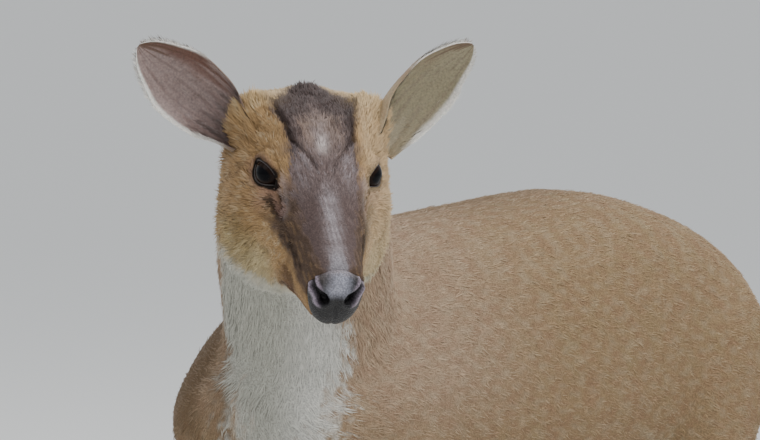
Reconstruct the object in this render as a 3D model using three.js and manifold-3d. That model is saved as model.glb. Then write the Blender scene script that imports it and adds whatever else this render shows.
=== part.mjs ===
// A Reeves's muntjac doe at life size: she stands on all four feet and turns her head to her left.
// Millimetres, +Z up. She faces -Y, so her own left side is +X. The outline is the outside of her coat.
import * as THREE from "three";
import { mergeVertices } from "three/addons/utils/BufferGeometryUtils.js";
import Module from "manifold-3d";

const wasm = await Module();
wasm.setup();

// Driving sizes
const WITHERS_HEIGHT = 432;
const TRUNK_LENGTH = 560;
const TRUNK_WIDTH = 188;
const BREAST_Y = -108;
const HEAD_LENGTH = 198;
const HEAD_WIDTH = 101.5;
const EYE_RADIUS = 13;
const EAR_LENGTH = 90;
const EAR_WIDTH = 62;
const TAIL_LENGTH = 135;
const HOOF_HEIGHT = 20;
const GAP = 0.3;

// Helpers: smooth reading of tables, rings and closed surfaces

// The value on a smooth curve through four neighbours, at share u between the middle two.
function throughFour(a, b, c, d, u) {
  const bend = 2 * b + (c - a) * u;
  return 0.5 * (bend + (2 * a - 5 * b + 4 * c - d) * u * u + (3 * b - a - 3 * c + d) * u ** 3);
}

// The row at share t of the way down a table, every column read as a smooth curve.
function rowAt(rows, t) {
  const last = rows.length - 1;
  const i = Math.min(Math.floor(t * last), last - 1);
  const near = (k) => rows[Math.max(0, Math.min(last, k))];
  return rows[i].map((_, c) =>
    throughFour(near(i - 1)[c], near(i)[c], near(i + 1)[c], near(i + 2)[c], t * last - i),
  );
}

function signedPower(x, power) {
  return Math.sign(x) * Math.abs(x) ** power;
}

// A ring round a limb or trunk: a superellipse that reaches rise above its centre and drop below it.
function ringAt(centre, side, up, { half, rise, drop, square = 2 }, sides) {
  return Array.from({ length: sides }, (_, k) => {
    const angle = (2 * Math.PI * k) / sides;
    const across = half * signedPower(Math.cos(angle), 2 / square);
    const lift = Math.sin(angle) > 0 ? rise : drop;
    return centre
      .clone()
      .addScaledVector(side, across)
      .addScaledVector(up, lift * signedPower(Math.sin(angle), 2 / square));
  });
}

// A surface through a row of rings. Its ends close on their middles, or on each other in a hoop.
function skinOver(rings, hoop = false) {
  const sides = rings[0].length;
  const points = rings.flat();
  const faces = [];
  const bands = hoop ? rings.length : rings.length - 1;
  for (let r = 0; r < bands; r++) {
    for (let k = 0; k < sides; k++) {
      const here = r * sides + k;
      const beside = r * sides + ((k + 1) % sides);
      const next = ((r + 1) % rings.length) * sides;
      faces.push(here, beside, next + k, beside, next + ((k + 1) % sides), next + k);
    }
  }
  if (!hoop) {
    for (const [ring, first, turn] of [[rings[0], 0, 1], [rings.at(-1), (rings.length - 1) * sides, 0]]) {
      const middle = new THREE.Vector3();
      ring.forEach((p) => middle.addScaledVector(p, 1 / sides));
      points.push(middle);
      for (let k = 0; k < sides; k++) {
        const edge = [first + k, first + ((k + 1) % sides)];
        faces.push(edge[turn], edge[1 - turn], points.length - 1);
      }
    }
  }
  const geometry = new THREE.BufferGeometry().setFromPoints(points);
  return geometry.setIndex(faces);
}

// A closed geometry as a solid, with its faces turned outward whichever way they were wound.
function solid(geometry) {
  const plain = geometry.clone();
  plain.deleteAttribute("normal");
  plain.deleteAttribute("uv");
  const merged = mergeVertices(plain, 1e-4);
  const vertProperties = merged.attributes.position.array;
  const triVerts = new Uint32Array(merged.index.array);
  const made = new wasm.Manifold(new wasm.Mesh({ numProp: 3, vertProperties, triVerts }));
  if (made.volume() > 0) return made;
  for (let i = 0; i < triVerts.length; i += 3) {
    [triVerts[i + 1], triVerts[i + 2]] = [triVerts[i + 2], triVerts[i + 1]];
  }
  return new wasm.Manifold(new wasm.Mesh({ numProp: 3, vertProperties, triVerts }));
}

function joined(solids) {
  return solids.reduce((all, one) => all.add(one));
}

// A limb lofted down a table of [x, y, z, half width, front, back, squareness].
function limb(rows, reference, count, sides) {
  const middle = (t) => new THREE.Vector3(...rowAt(rows, t));
  const rings = Array.from({ length: count }, (_, i) => {
    const t = i / (count - 1);
    const along = middle(Math.min(1, t + 0.01)).sub(middle(Math.max(0, t - 0.01))).normalize();
    const side = reference.clone().addScaledVector(along, -along.dot(reference)).normalize();
    const front = new THREE.Vector3().crossVectors(side, along);
    const [, , , half, rise, drop, square] = rowAt(rows, t);
    return ringAt(middle(t), side, front, { half, rise, drop, square }, sides);
  });
  return skinOver(rings);
}

// A thin round blade that parts two neighbours and leaves the gap that touching pieces keep.
function blade(at, along, radius, depth = radius) {
  const geometry = new THREE.CylinderGeometry(radius, radius, GAP, 24).scale(1, 1, depth / radius);
  const turn = new THREE.Quaternion().setFromUnitVectors(
    new THREE.Vector3(0, 1, 0),
    along.clone().normalize(),
  );
  geometry.applyQuaternion(turn).translate(at.x, at.y, at.z);
  return solid(geometry);
}

// Trunk: breast, rib cage, belly and rump in one form, highest at the croup

// Share of the length, top and bottom as shares of the withers height, half width as a share of the
// width, and squareness
const TRUNK_ROWS = [
  [0.0, 0.78, 0.66, 0.08, 2.0],
  [0.025, 0.8, 0.57, 0.32, 1.8],
  [0.1, 0.905, 0.525, 0.47, 1.6],
  [0.22, 0.985, 0.515, 0.475, 1.75],
  [0.36, 1.005, 0.5, 0.48, 2.1],
  [0.5, 1.015, 0.502, 0.5, 2.2],
  [0.64, 1.025, 0.52, 0.5, 2.2],
  [0.76, 1.003, 0.56, 0.49, 2.2],
  [0.87, 0.958, 0.6, 0.45, 2.2],
  [0.95, 0.9, 0.66, 0.36, 2.1],
  [0.99, 0.86, 0.71, 0.22, 2.0],
  [1.0, 0.81, 0.76, 0.07, 2.0],
];
const SIDEWAYS = new THREE.Vector3(1, 0, 0);
const UPWARD = new THREE.Vector3(0, 0, 1);

function trunk() {
  const count = 23;
  const rings = Array.from({ length: count }, (_, i) => {
    const [along, top, bottom, half, square] = rowAt(TRUNK_ROWS, i / (count - 1));
    const rise = ((top - bottom) / 2) * WITHERS_HEIGHT;
    const centre = new THREE.Vector3(
      0,
      BREAST_Y + along * TRUNK_LENGTH,
      bottom * WITHERS_HEIGHT + rise,
    );
    const size = { half: half * TRUNK_WIDTH, rise, drop: rise, square };
    return ringAt(centre, SIDEWAYS, UPWARD, size, 22);
  });
  return solid(skinOver(rings));
}

// Head frame: x to her left, y back from the tip of the nose, z up through the crown

const NOSE_TIP = new THREE.Vector3(170.3, -213.9, 405);
const HEAD_YAW = THREE.MathUtils.degToRad(47.1);
const HEAD_PITCH = THREE.MathUtils.degToRad(30);
const HEAD_ROLL = THREE.MathUtils.degToRad(2);

const headPlace = new THREE.Matrix4().compose(
  NOSE_TIP,
  new THREE.Quaternion().setFromEuler(new THREE.Euler(HEAD_PITCH, HEAD_ROLL, HEAD_YAW, "ZXY")),
  new THREE.Vector3(1, 1, 1),
);

function inHead(x, y, z) {
  return new THREE.Vector3(x, y, z).applyMatrix4(headPlace);
}

// Share of the head's length back from the nose, top, bottom and widest level as shares of the
// length, half width as a share of the width, and squareness above and below the widest level
const HEAD_ROWS = [
  [0.0, 0.03, -0.06, -0.015, 0.07, 2.0, 2.0],
  [0.02, 0.068, -0.112, -0.015, 0.14, 2.2, 2.1],
  [0.065, 0.095, -0.145, -0.02, 0.178, 2.3, 2.2],
  [0.15, 0.116, -0.168, -0.03, 0.2, 2.3, 2.3],
  [0.255, 0.147, -0.205, -0.04, 0.25, 2.2, 2.3],
  [0.37, 0.192, -0.26, -0.05, 0.35, 2.1, 2.4],
  [0.47, 0.23, -0.318, -0.065, 0.45, 2.1, 2.7],
  [0.57, 0.258, -0.35, -0.085, 0.505, 2.3, 3.0],
  [0.69, 0.258, -0.352, -0.095, 0.525, 2.9, 3.0],
  [0.81, 0.244, -0.31, -0.06, 0.51, 3.6, 2.5],
  [0.92, 0.203, -0.23, -0.01, 0.42, 3.1, 2.0],
  [0.985, 0.128, -0.11, 0.015, 0.22, 2.0, 2.0],
  [1.0, 0.07, -0.03, 0.02, 0.06, 2.0, 2.0],
];

// Local forms of the face: where each lies on her left side, how wide it spreads and how far it
// stands out. A form off the middle is repeated on her right side.
const FACE_FORMS = [
  { at: [35, 99, 44], spread: 15, out: 3 }, // brow over the eye
  { at: [32, 78, 14], spread: 13, out: -3.5 }, // hollow in front of the eye
  { at: [50, 100, -2], spread: 18, out: 1 }, // cheekbone
  { at: [48, 126, -40], spread: 26, out: 5.5 }, // full cheek
  { at: [38, 96, -50], spread: 20, out: 3 }, // jaw
  { at: [24, 126, 56], spread: 14, out: 2.5 }, // low knob where a buck has his pedicle
  { at: [0, 172, 44], spread: 11, out: 4 }, // tuft on the crown
  { at: [44, 153, 40], spread: 16, out: 9 }, // root of the ear
  { at: [0, 100, 50], spread: 14, out: -2 }, // shallow dip between the brows
  { at: [14, 9, 2], spread: 8, out: 2 }, // wing of the nostril
  { at: [18, 30, -10], spread: 13, out: 1.8 }, // upper lip
  { at: [0, 20, -24], spread: 12, out: 1.5 }, // chin
];

function headRow(back) {
  const reach = back / HEAD_LENGTH;
  const last = HEAD_ROWS.length - 1;
  let i = 0;
  while (i < last - 1 && HEAD_ROWS[i + 1][0] < reach) i++;
  const u = (reach - HEAD_ROWS[i][0]) / (HEAD_ROWS[i + 1][0] - HEAD_ROWS[i][0]);
  return rowAt(HEAD_ROWS, (i + Math.max(0, Math.min(1, u))) / last);
}

// The point of the head's surface at a distance back from the nose and an angle round the section,
// from her left through the top.
function faceAt(back, angle) {
  const [, top, bottom, level, half, squareTop, squareBelow] = headRow(back);
  const above = Math.sin(angle) > 0;
  const power = 2 / (above ? squareTop : squareBelow);
  const reach = (above ? top - level : level - bottom) * HEAD_LENGTH;
  const point = new THREE.Vector3(
    half * HEAD_WIDTH * signedPower(Math.cos(angle), power),
    back,
    level * HEAD_LENGTH + reach * signedPower(Math.sin(angle), power),
  );
  const outward = new THREE.Vector3(Math.cos(angle), 0, Math.sin(angle));
  const start = point.clone();
  for (const { at, spread, out } of FACE_FORMS) {
    for (const side of at[0] ? [1, -1] : [1]) {
      const far = start.distanceTo(new THREE.Vector3(side * at[0], at[1], at[2])) / spread;
      point.addScaledVector(outward, out * Math.exp(-far * far));
    }
  }
  return point;
}

function skull() {
  const count = 25;
  const sides = 28;
  const rings = Array.from({ length: count }, (_, i) => {
    const back = rowAt(HEAD_ROWS, i / (count - 1))[0] * HEAD_LENGTH;
    return Array.from({ length: sides }, (_, k) => faceAt(back, (2 * Math.PI * k) / sides));
  });
  return solid(skinOver(rings));
}

// A round cord of flesh or of air along points of the head, used for lips, folds and grooves.
function cordAlong(points, radius, sides, taper = 0) {
  const curve = new THREE.CatmullRomCurve3(points);
  const count = Math.round(points.length * 1.2) + 1;
  const rings = Array.from({ length: count }, (_, i) => {
    const t = i / (count - 1);
    const along = curve.getTangent(t);
    const side = new THREE.Vector3().crossVectors(along, UPWARD).normalize();
    const up = new THREE.Vector3().crossVectors(side, along);
    const size = radius * (1 - taper * (2 * t - 1) ** 2);
    return ringAt(curve.getPoint(t), side, up, { half: size, rise: size, drop: size }, sides);
  });
  return solid(skinOver(rings));
}

// Mouth: the line from under the nose back along both sides, with a soft lip above and below it
const MOUTH_END = 60;
const MOUTH_START = 7;

function mouthLine(lift, sink) {
  const steps = 7;
  const side = Array.from({ length: steps }, (_, i) => {
    const t = 1 - i / (steps - 1);
    const back = MOUTH_START + (MOUTH_END - MOUTH_START) * t;
    const angle = -(0.62 + 0.5 * (1 - t) ** 2) + lift;
    const point = faceAt(back, angle);
    const inward = new THREE.Vector3(-Math.cos(angle), 0, -Math.sin(angle));
    return point.addScaledVector(inward, sink);
  });
  const other = side.map((p) => new THREE.Vector3(-p.x, p.y, p.z)).reverse();
  return [...side, ...other];
}

// Nostril: a comma whose round end lies low in front and whose tail curls up and out
function nostril(side) {
  const path = [
    [8.5, -4, -4],
    [9.5, 3, -3.5],
    [13, 5.5, 0],
    [16.5, 6.5, 5],
    [17.5, 8.5, 9.5],
  ].map(([x, y, z]) => new THREE.Vector3(side * x, y, z));
  const pit = new THREE.SphereGeometry(1, 8, 6).scale(3.6, 7, 4.6);
  pit.translate(side * 9.5, 1, -3);
  return solid(pit).add(cordAlong(path, 2, 6, 0.35));
}

// Eye: a ball in its socket, under two lids that leave an almond open
const EYE_CENTRE = [28, 104, 23.5];
const EYE_LOOK = new THREE.Vector3(0.8, -0.54, 0.24).normalize();
const LID_THICKNESS = 2;
const OPENING_LENGTH = 23.5;
const OPENING_HEIGHT = 14.5;

function eyeCentre(side) {
  return new THREE.Vector3(side * EYE_CENTRE[0], EYE_CENTRE[1], EYE_CENTRE[2]);
}

function eyeBall(side, radius) {
  const ball = new THREE.SphereGeometry(radius, 14, 9);
  const at = eyeCentre(side);
  return solid(ball.translate(at.x, at.y, at.z));
}

// The almond prism that opens the lids: its inner corner is the sharp one and lies lower.
function lidOpening(side) {
  const long = OPENING_LENGTH / 2;
  const high = OPENING_HEIGHT / 2;
  const almond = new THREE.Shape();
  almond.moveTo(-long, -high * 0.52);
  almond.bezierCurveTo(-long, high * 0.45, -long * 0.45, high, long * 0.1, high);
  almond.bezierCurveTo(long * 0.55, high, long, high * 0.62, long * 1.03, high * 0.1);
  almond.bezierCurveTo(long, -high * 0.6, long * 0.65, -high * 1.03, long * 0.2, -high * 1.05);
  almond.bezierCurveTo(-long * 0.25, -high * 1.05, -long * 0.6, -high * 0.62, -long, -high * 0.52);
  const prism = new THREE.ExtrudeGeometry(almond, { depth: 40, bevelEnabled: false, curveSegments: 3 });
  const look = new THREE.Vector3(side * EYE_LOOK.x, EYE_LOOK.y, EYE_LOOK.z);
  const back = new THREE.Vector3().crossVectors(UPWARD, look).multiplyScalar(side).normalize();
  const up = new THREE.Vector3().crossVectors(look, back).multiplyScalar(side);
  const at = eyeCentre(side);
  return solid(prism.applyMatrix4(new THREE.Matrix4().makeBasis(back, up, look).setPosition(at)));
}

// The slit of the scent gland in front of the eye.
function glandSlit(side) {
  const path = [
    [31.5, 80, 15],
    [30, 74, 9],
    [28.5, 68, 3],
  ].map(([x, y, z]) => new THREE.Vector3(side * x, y, z));
  return cordAlong(path, 2.2, 6, 0.5);
}

// The folds of the two forehead glands, a V that runs from the crown towards the eyes' inner corners.
function browFold(side) {
  const path = [0.9, 0.55, 0.2].map((t) => faceAt(84 + 46 * t, Math.PI / 2 - side * (0.26 + 0.28 * t)));
  return cordAlong(path, 1.3, 6, 0.6);
}

// Ear: a thin leaf rolled into a cup at its root and opening towards a blunt tip

// Share of the length, width as a share of the ear's width, and half the angle that the cup wraps
const EAR_ROWS = [
  [0.0, 0.86, 2.19],
  [0.12, 0.91, 1.95],
  [0.28, 0.97, 1.45],
  [0.45, 0.99, 1.27],
  [0.62, 0.9, 1.05],
  [0.78, 0.64, 0.85],
  [0.9, 0.41, 0.7],
  [0.97, 0.2, 0.6],
  [1.0, 0.06, 0.5],
];
const EAR_THICKNESS = 3;
const EAR_RIM = 1.7;
const EAR_ROOT = [41, 151, 21];
const earBow = (along) => 11 * Math.sin(Math.PI * along) - 4 * along;

function earLeaf(side) {
  const across = 10;
  const rows = 11;
  const sheet = (shift) =>
    Array.from({ length: rows + 1 }, (_, i) => {
      const [along, width, wrap] = rowAt(EAR_ROWS, i / rows);
      return Array.from({ length: across + 1 }, (_, k) => {
        const u = (2 * k) / across - 1;
        const radius = (width * EAR_WIDTH) / 2 / wrap;
        const wall = shift * (EAR_RIM + (EAR_THICKNESS - EAR_RIM) * (1 - u * u)) * (1 - 0.35 * along);
        const reach = radius + wall / 2;
        const lean = side * -1.8 * along ** 3;
        return new THREE.Vector3(
          reach * Math.sin(u * wrap) + lean,
          along * EAR_LENGTH,
          radius - reach * Math.cos(u * wrap) - earBow(along),
        );
      });
    });
  const points = [...sheet(1).flat(), ...sheet(-1).flat()];
  const row = across + 1;
  const inner = (rows + 1) * row;
  const faces = [];
  const quad = (a, b, c, d) => faces.push(a, b, c, a, c, d);
  for (let i = 0; i < rows; i++) {
    for (let k = 0; k < across; k++) {
      const a = i * row + k;
      quad(a, a + 1, a + row + 1, a + row);
      quad(inner + a, inner + a + row, inner + a + row + 1, inner + a + 1);
    }
    const left = i * row;
    const right = left + across;
    quad(left, left + row, inner + left + row, inner + left);
    quad(right, inner + right, inner + right + row, right + row);
  }
  for (let k = 0; k < across; k++) {
    const tip = rows * row + k;
    quad(k, inner + k, inner + k + 1, k + 1);
    quad(tip, tip + 1, inner + tip + 1, inner + tip);
  }
  return new THREE.BufferGeometry().setFromPoints(points).setIndex(faces);
}

// Where each ear points in the head frame, and which way its cup opens
const EAR_POSES = {
  left: { side: 1, along: [0.72, 0.33, 0.61], open: [0.45, -0.88, 0.19] },
  right: { side: -1, along: [-0.79, 0.39, 0.475], open: [-0.3, -0.8, 0.51] },
};

function earFrame({ side, along, open }) {
  const up = new THREE.Vector3(...along).normalize();
  const out = new THREE.Vector3(...open).addScaledVector(up, -up.dot(new THREE.Vector3(...open))).normalize();
  const across = new THREE.Vector3().crossVectors(up, out);
  const at = new THREE.Vector3(side * EAR_ROOT[0], EAR_ROOT[1], EAR_ROOT[2]);
  return new THREE.Matrix4().makeBasis(across, up, out).setPosition(at);
}

function ear(pose) {
  return solid(earLeaf(pose.side).applyMatrix4(earFrame(pose)));
}

// Neck: from inside the trunk up and round to her left, into the back of the head
// x, y, z, half width, throat side, nape side, squareness
const neckTop = inHead(0, 146, -8);
const NECK_ROWS = [
  [2, 45, 312, 68, 84, 84, 2.0],
  [10, -18, 338, 68, 84, 78, 1.9],
  [23, -52, 380, 59, 64, 62, 2.0],
  [43, -84, 424, 59, 52, 62, 2.1],
  [neckTop.x - 10, neckTop.y + 14, neckTop.z - 22, 47, 46, 66, 2.1],
  [neckTop.x, neckTop.y, neckTop.z, 44, 40, 58, 2.1],
];

function neck() {
  const turned = new THREE.Vector3(Math.cos(HEAD_YAW * 0.6), Math.sin(HEAD_YAW * 0.6), 0);
  return solid(limb(NECK_ROWS, turned, 12, 20));
}

// Legs: x and y are from the foot's place, z from the floor. Each row ends with the half width, the
// front and the back of the section.
const FORE_ROWS = [
  [8, -8, 352, 12, 34, 36, 2.2],
  [12, -14, 312, 26, 44, 44, 2.2],
  [9, -2, 258, 24, 33, 34, 2.2],
  [5, 6, 222, 17, 22, 22, 2.1],
  [2, 3, 186, 12.5, 15.5, 15.5, 2.1],
  [0, 0, 152, 11.5, 13.5, 12, 2.3],
  [0, 3, 126, 9, 10, 10.5, 2.1],
  [0, 6, 90, 8.2, 9, 9.5, 2.1],
  [0, 8, 58, 9.8, 10.5, 12, 2.1],
  [0, 2, 38, 9.6, 10.5, 11.5, 2.1],
  [0, -7, HOOF_HEIGHT - 4, 12.4, 14.5, 14.5, 2.3],
];
const HIND_ROWS = [
  [0, -66, 378, 16, 40, 34, 2.0],
  [12, -61, 344, 32, 70, 62, 2.1],
  [16, -58, 296, 31, 68, 60, 2.2],
  [16, -56, 250, 25, 48, 44, 2.1],
  [10, -34, 210, 16.5, 27, 27, 2.1],
  [3, 2, 170, 11.5, 15, 18, 2.2],
  [1, 17, 144, 11, 14, 15.5, 2.2],
  [0, 13, 114, 9.4, 11, 12.5, 2.1],
  [0, 9, 80, 9, 10, 10.5, 2.1],
  [0, 6, 54, 10.2, 11, 12.5, 2.1],
  [0, 0, 37, 10, 11, 12, 2.1],
  [0, -9, HOOF_HEIGHT - 4, 12.6, 15, 15, 2.3],
];
const LEGS = {
  foreleg_left: { rows: FORE_ROWS, side: 1, x: 50, y: 4, swing: -10 },
  foreleg_right: { rows: FORE_ROWS, side: -1, x: 50, y: 4, swing: 12 },
  hindleg_left: { rows: HIND_ROWS, side: 1, x: 54, y: 410, swing: 12 },
  hindleg_right: { rows: HIND_ROWS, side: -1, x: 54, y: 410, swing: -24 },
};
const SWING_HEIGHT = 300;

// A leg's own point in the body frame. The foot swings forward or back and the top stays put.
function inLeg({ side, x, y, swing }, across, along, height) {
  const share = Math.max(0, 1 - height / SWING_HEIGHT);
  return [side * (x + across), y + along + swing * share, height];
}

function leg(place) {
  const rows = place.rows.map(([x, y, z, ...sizes]) => [...inLeg(place, x, y, z), ...sizes]);
  const below = new THREE.BoxGeometry(60, 80, 2 * (HOOF_HEIGHT + GAP)).translate(...inLeg(place, 0, 0, 0));
  return solid(limb(rows, SIDEWAYS, 20, 10)).subtract(solid(below));
}

// The two small hooves that hang behind the fetlock.
function dewclawRoot(place, inner) {
  const root = new THREE.Vector3(...inLeg(place, inner * 6, 12, 50));
  const tip = new THREE.Vector3(...inLeg(place, inner * 7.5, 22, 34));
  const along = tip.clone().sub(root);
  const at = root.clone().addScaledVector(along, 0.5);
  const beyond = root.clone().addScaledVector(along, 0.72);
  return { root, tip, at, beyond, along };
}

function dewclaw(place, inner) {
  const { root, tip } = dewclawRoot(place, inner);
  const middle = root.clone().lerp(tip, 0.6);
  const rows = [
    [...root.toArray(), 4.4, 4.4, 4.4, 2],
    [...middle.toArray(), 4.2, 4.2, 4.2, 2],
    [...tip.toArray(), 1.4, 1.4, 1.4, 2],
  ];
  return solid(limb(rows, SIDEWAYS, 4, 6));
}

// A hoof's claw: a flat sole, a toe that points forward and a wall that leans in towards the coronet
function claw(place, inner) {
  const heights = [0, 0.12, 0.6, 1];
  const rings = heights.map((h) => {
    const lean = h * 9;
    const length = 21 - 7.5 * h - (h === 0 ? 1 : 0);
    const [x, y] = inLeg(place, inner * 6.35, -6 - 4 + lean * 0.5, 0);
    const half = 5.9 - (h === 0 ? 0.8 : 0);
    return Array.from({ length: 10 }, (_, k) => {
      const angle = (2 * Math.PI * k) / 10;
      const forward = Math.cos(angle);
      const pinch = forward > 0 ? 1 - 0.45 * forward ** 3 : 1;
      return new THREE.Vector3(
        x + place.side * inner * -0.1 + half * pinch * Math.sin(angle),
        y - forward * (forward > 0 ? length : length * 0.62),
        h * HOOF_HEIGHT,
      );
    });
  });
  return solid(skinOver(rings));
}

// Tail: broad and flat, hanging close behind the rump, with a fringe of long hair
const TAIL_TOP = 0.875 * WITHERS_HEIGHT;
const TAIL_Y = BREAST_Y + TRUNK_LENGTH - 16;
const TAIL_ROWS = [
  [0, TAIL_Y - 30, TAIL_TOP + 4, 13, 12, 12, 2],
  [0, TAIL_Y + 2, TAIL_TOP - 4, 15, 11, 11, 2],
  [0, TAIL_Y + 26, TAIL_TOP - 0.24 * TAIL_LENGTH, 18, 9, 9, 2],
  [0, TAIL_Y + 33, TAIL_TOP - 0.52 * TAIL_LENGTH, 18, 8, 8, 2],
  [0, TAIL_Y + 34, TAIL_TOP - 0.76 * TAIL_LENGTH, 12, 6, 6, 2],
  [0, TAIL_Y + 34, TAIL_TOP - 0.92 * TAIL_LENGTH, 4, 3, 3, 2],
];

// A lock of the fringe: it leaves the tail's edge at a share of its length and hangs to a tapered tip.
function tailLock(side, share) {
  const [, y, z, half] = rowAt(TAIL_ROWS, share);
  const length = 0.3 * TAIL_LENGTH;
  const rows = [0, 0.35, 0.7, 1].map((t) => {
    const swing = half * (0.5 + 0.75 * Math.sin(1.9 * t)) - 5 * t * share;
    const girth = 1 - 0.86 * t ** 1.5;
    return [side * swing, y + 1.5 * t, z - length * t, 5.5 * girth, 4.6 * girth, 4.6 * girth, 2];
  });
  return solid(limb(rows, SIDEWAYS, 4, 6));
}

function tail() {
  const core = solid(limb(TAIL_ROWS, SIDEWAYS, 10, 10));
  const shares = [0.46, 0.56, 0.66, 0.76, 0.86];
  const locks = shares.flatMap((share) => [tailLock(1, share), tailLock(-1, share - 0.04)]);
  return joined([core, ...locks]);
}

// The whole animal is joined first and then parted with thin cuts

const sideSigns = { left: 1, right: -1 };

function geometryOf(made) {
  const { vertProperties, triVerts } = made.getMesh();
  const geometry = new THREE.BufferGeometry();
  geometry.setAttribute("position", new THREE.BufferAttribute(vertProperties, 3));
  return geometry.setIndex(new THREE.BufferAttribute(triVerts, 1));
}

function headFlesh() {
  const flesh = [skull(), cordAlong(mouthLine(0.13, 1.4), 2.4, 6, 0.5)];
  flesh.push(cordAlong(mouthLine(-0.13, 1.5), 2.2, 6, 0.5));
  const air = [cordAlong(mouthLine(0, 0.2), 1.3, 6, 0.3)];
  for (const [name, side] of Object.entries(sideSigns)) {
    flesh.push(eyeBall(side, EYE_RADIUS + LID_THICKNESS), ear(EAR_POSES[name]));
    air.push(nostril(side), eyeBall(side, EYE_RADIUS + GAP), lidOpening(side));
    air.push(glandSlit(side), browFold(side));
  }
  const made = joined(flesh).subtract(joined(air));
  return solid(geometryOf(made).applyMatrix4(headPlace));
}

function legCentre(place, height) {
  const below = place.rows.findIndex(([, , z]) => z <= height);
  const [a, b] = [place.rows[below - 1], place.rows[below]];
  const t = (a[2] - height) / (a[2] - b[2]);
  return new THREE.Vector3(...inLeg(place, a[0] + (b[0] - a[0]) * t, a[1] + (b[1] - a[1]) * t, height));
}

// Cuts and seeds: a thin blade parts each pair, and a point inside each piece says which one it is
const cuts = [];
const seeds = {};

function part(name, seed, at, along, radius, depth) {
  seeds[name] = seed;
  if (at) cuts.push(blade(at, along, radius, depth));
}

function inEar(name, along, height) {
  const point = new THREE.Vector3(0, along * EAR_LENGTH, height).applyMatrix4(earFrame(EAR_POSES[name]));
  return inHead(...point);
}

const BACKWARD = new THREE.Vector3(0, 1, 0);
const FORE_CUTS = { forearm: [214, 180, 34], cannon: [141, 100, 20], foot: [66, 52, 18] };
const HIND_CUTS = { shank: [228, 205, 58], cannon: [130, 95, 24], foot: [64, 50, 18] };

part("shoulders", new THREE.Vector3(0, 20, 330));
part("barrel", new THREE.Vector3(0, 150, 330), new THREE.Vector3(0, 78, 330), BACKWARD, 150);
part("haunches", new THREE.Vector3(0, 330, 360), new THREE.Vector3(0, 236, 345), BACKWARD, 150);
part(
  "neck",
  new THREE.Vector3(40, -80, 412),
  new THREE.Vector3(8, -42, 372),
  new THREE.Vector3(0.25, -0.6, 0.75),
  130,
);
const nape = inHead(0, 150, -16);
part("head", inHead(0, 90, 0), nape, inHead(0, 150.7, -16.7).sub(nape), 92);
part("nose", inHead(0, 7, 0), inHead(0, 12.5, 2), inHead(0, 13.5, 2).sub(inHead(0, 12.5, 2)), 36);
part(
  "tail",
  new THREE.Vector3(0, TAIL_Y + 33, TAIL_TOP - 0.6 * TAIL_LENGTH),
  new THREE.Vector3(0, TAIL_Y + 29, TAIL_TOP - 0.32 * TAIL_LENGTH),
  new THREE.Vector3(0, 0.2, -1),
  28,
  13,
);
for (const name of Object.keys(sideSigns)) {
  const root = inEar(name, 0.26, 4);
  part(`ear_${name}`, inEar(name, 0.6, -earBow(0.6)), root, inEar(name, 0.3, 4).sub(root), 30);
}
for (const [leg, place] of Object.entries(LEGS)) {
  const table = leg.startsWith("fore") ? FORE_CUTS : HIND_CUTS;
  for (const [piece, [cutHeight, seedHeight, radius]] of Object.entries(table)) {
    const at = legCentre(place, cutHeight);
    part(`${leg}_${piece}`, legCentre(place, seedHeight), at, UPWARD, radius);
  }
  for (const [name, inner] of [["inner", -1], ["outer", 1]]) {
    const { at, beyond, along } = dewclawRoot(place, inner);
    part(`${leg}_dewclaw_${name}`, beyond, at, along, 5.5);
  }
}

const legSolids = Object.values(LEGS).map((place) =>
  joined([leg(place), dewclaw(place, 1), dewclaw(place, -1)]),
);
const whole = joined([trunk(), neck(), headFlesh(), tail(), ...legSolids]);
const pieces = whole.subtract(joined(cuts)).decompose();

function sharedVolume(piece, seed) {
  const { min, max } = piece.boundingBox();
  const outside = seed.toArray().some((v, i) => v < min[i] || v > max[i]);
  if (outside) return 0;
  const probe = new THREE.SphereGeometry(1.2, 6, 4).translate(seed.x, seed.y, seed.z);
  return piece.intersect(solid(probe)).volume();
}

function pieceAt(seed) {
  return pieces.reduce((best, piece) =>
    sharedVolume(piece, seed) > sharedVolume(best, seed) ? piece : best,
  );
}

// Colours and finishes
const FINISHES = {
  coat: { color: 0x9c7450, roughness: 0.9, metalness: 0 },
  face: { color: 0xa88454, roughness: 0.9, metalness: 0 },
  ear: { color: 0xa89888, roughness: 0.85, metalness: 0 },
  nose: { color: 0x2c2a2c, roughness: 0.45, metalness: 0 },
  eye: { color: 0x120c09, roughness: 0.05, metalness: 0 },
  leg: { color: 0x6a5038, roughness: 0.9, metalness: 0 },
  hoof: { color: 0x2a2420, roughness: 0.5, metalness: 0 },
};

function finishOf(name) {
  if (/hoof|dewclaw/.test(name)) return "hoof";
  if (/leg/.test(name)) return "leg";
  if (/^ear/.test(name)) return "ear";
  if (/^eye/.test(name)) return "eye";
  if (name === "nose") return "nose";
  return name === "head" ? "face" : "coat";
}

const doe = new THREE.Group();

function add(name, made) {
  const look = new THREE.MeshStandardMaterial(FINISHES[finishOf(name)]);
  const mesh = new THREE.Mesh(geometryOf(made), look);
  mesh.name = name;
  doe.add(mesh);
}

for (const [name, seed] of Object.entries(seeds)) add(name, pieceAt(seed));
for (const [name, side] of Object.entries(sideSigns)) {
  add(`eye_${name}`, solid(geometryOf(eyeBall(side, EYE_RADIUS)).applyMatrix4(headPlace)));
}
for (const [leg, place] of Object.entries(LEGS)) {
  add(`${leg}_hoof_inner`, claw(place, -1));
  add(`${leg}_hoof_outer`, claw(place, 1));
}

// The frame's origin: the middle of her footprint's box, on the ground
const box = new THREE.Box3().setFromObject(doe);
const middle = box.getCenter(new THREE.Vector3());
doe.position.set(-middle.x, -middle.y, -box.min.z);

export default doe;
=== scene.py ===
import math

import bmesh
import bpy
import numpy as np
from mathutils import Matrix, Vector
from mathutils.bvhtree import BVHTree


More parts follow.
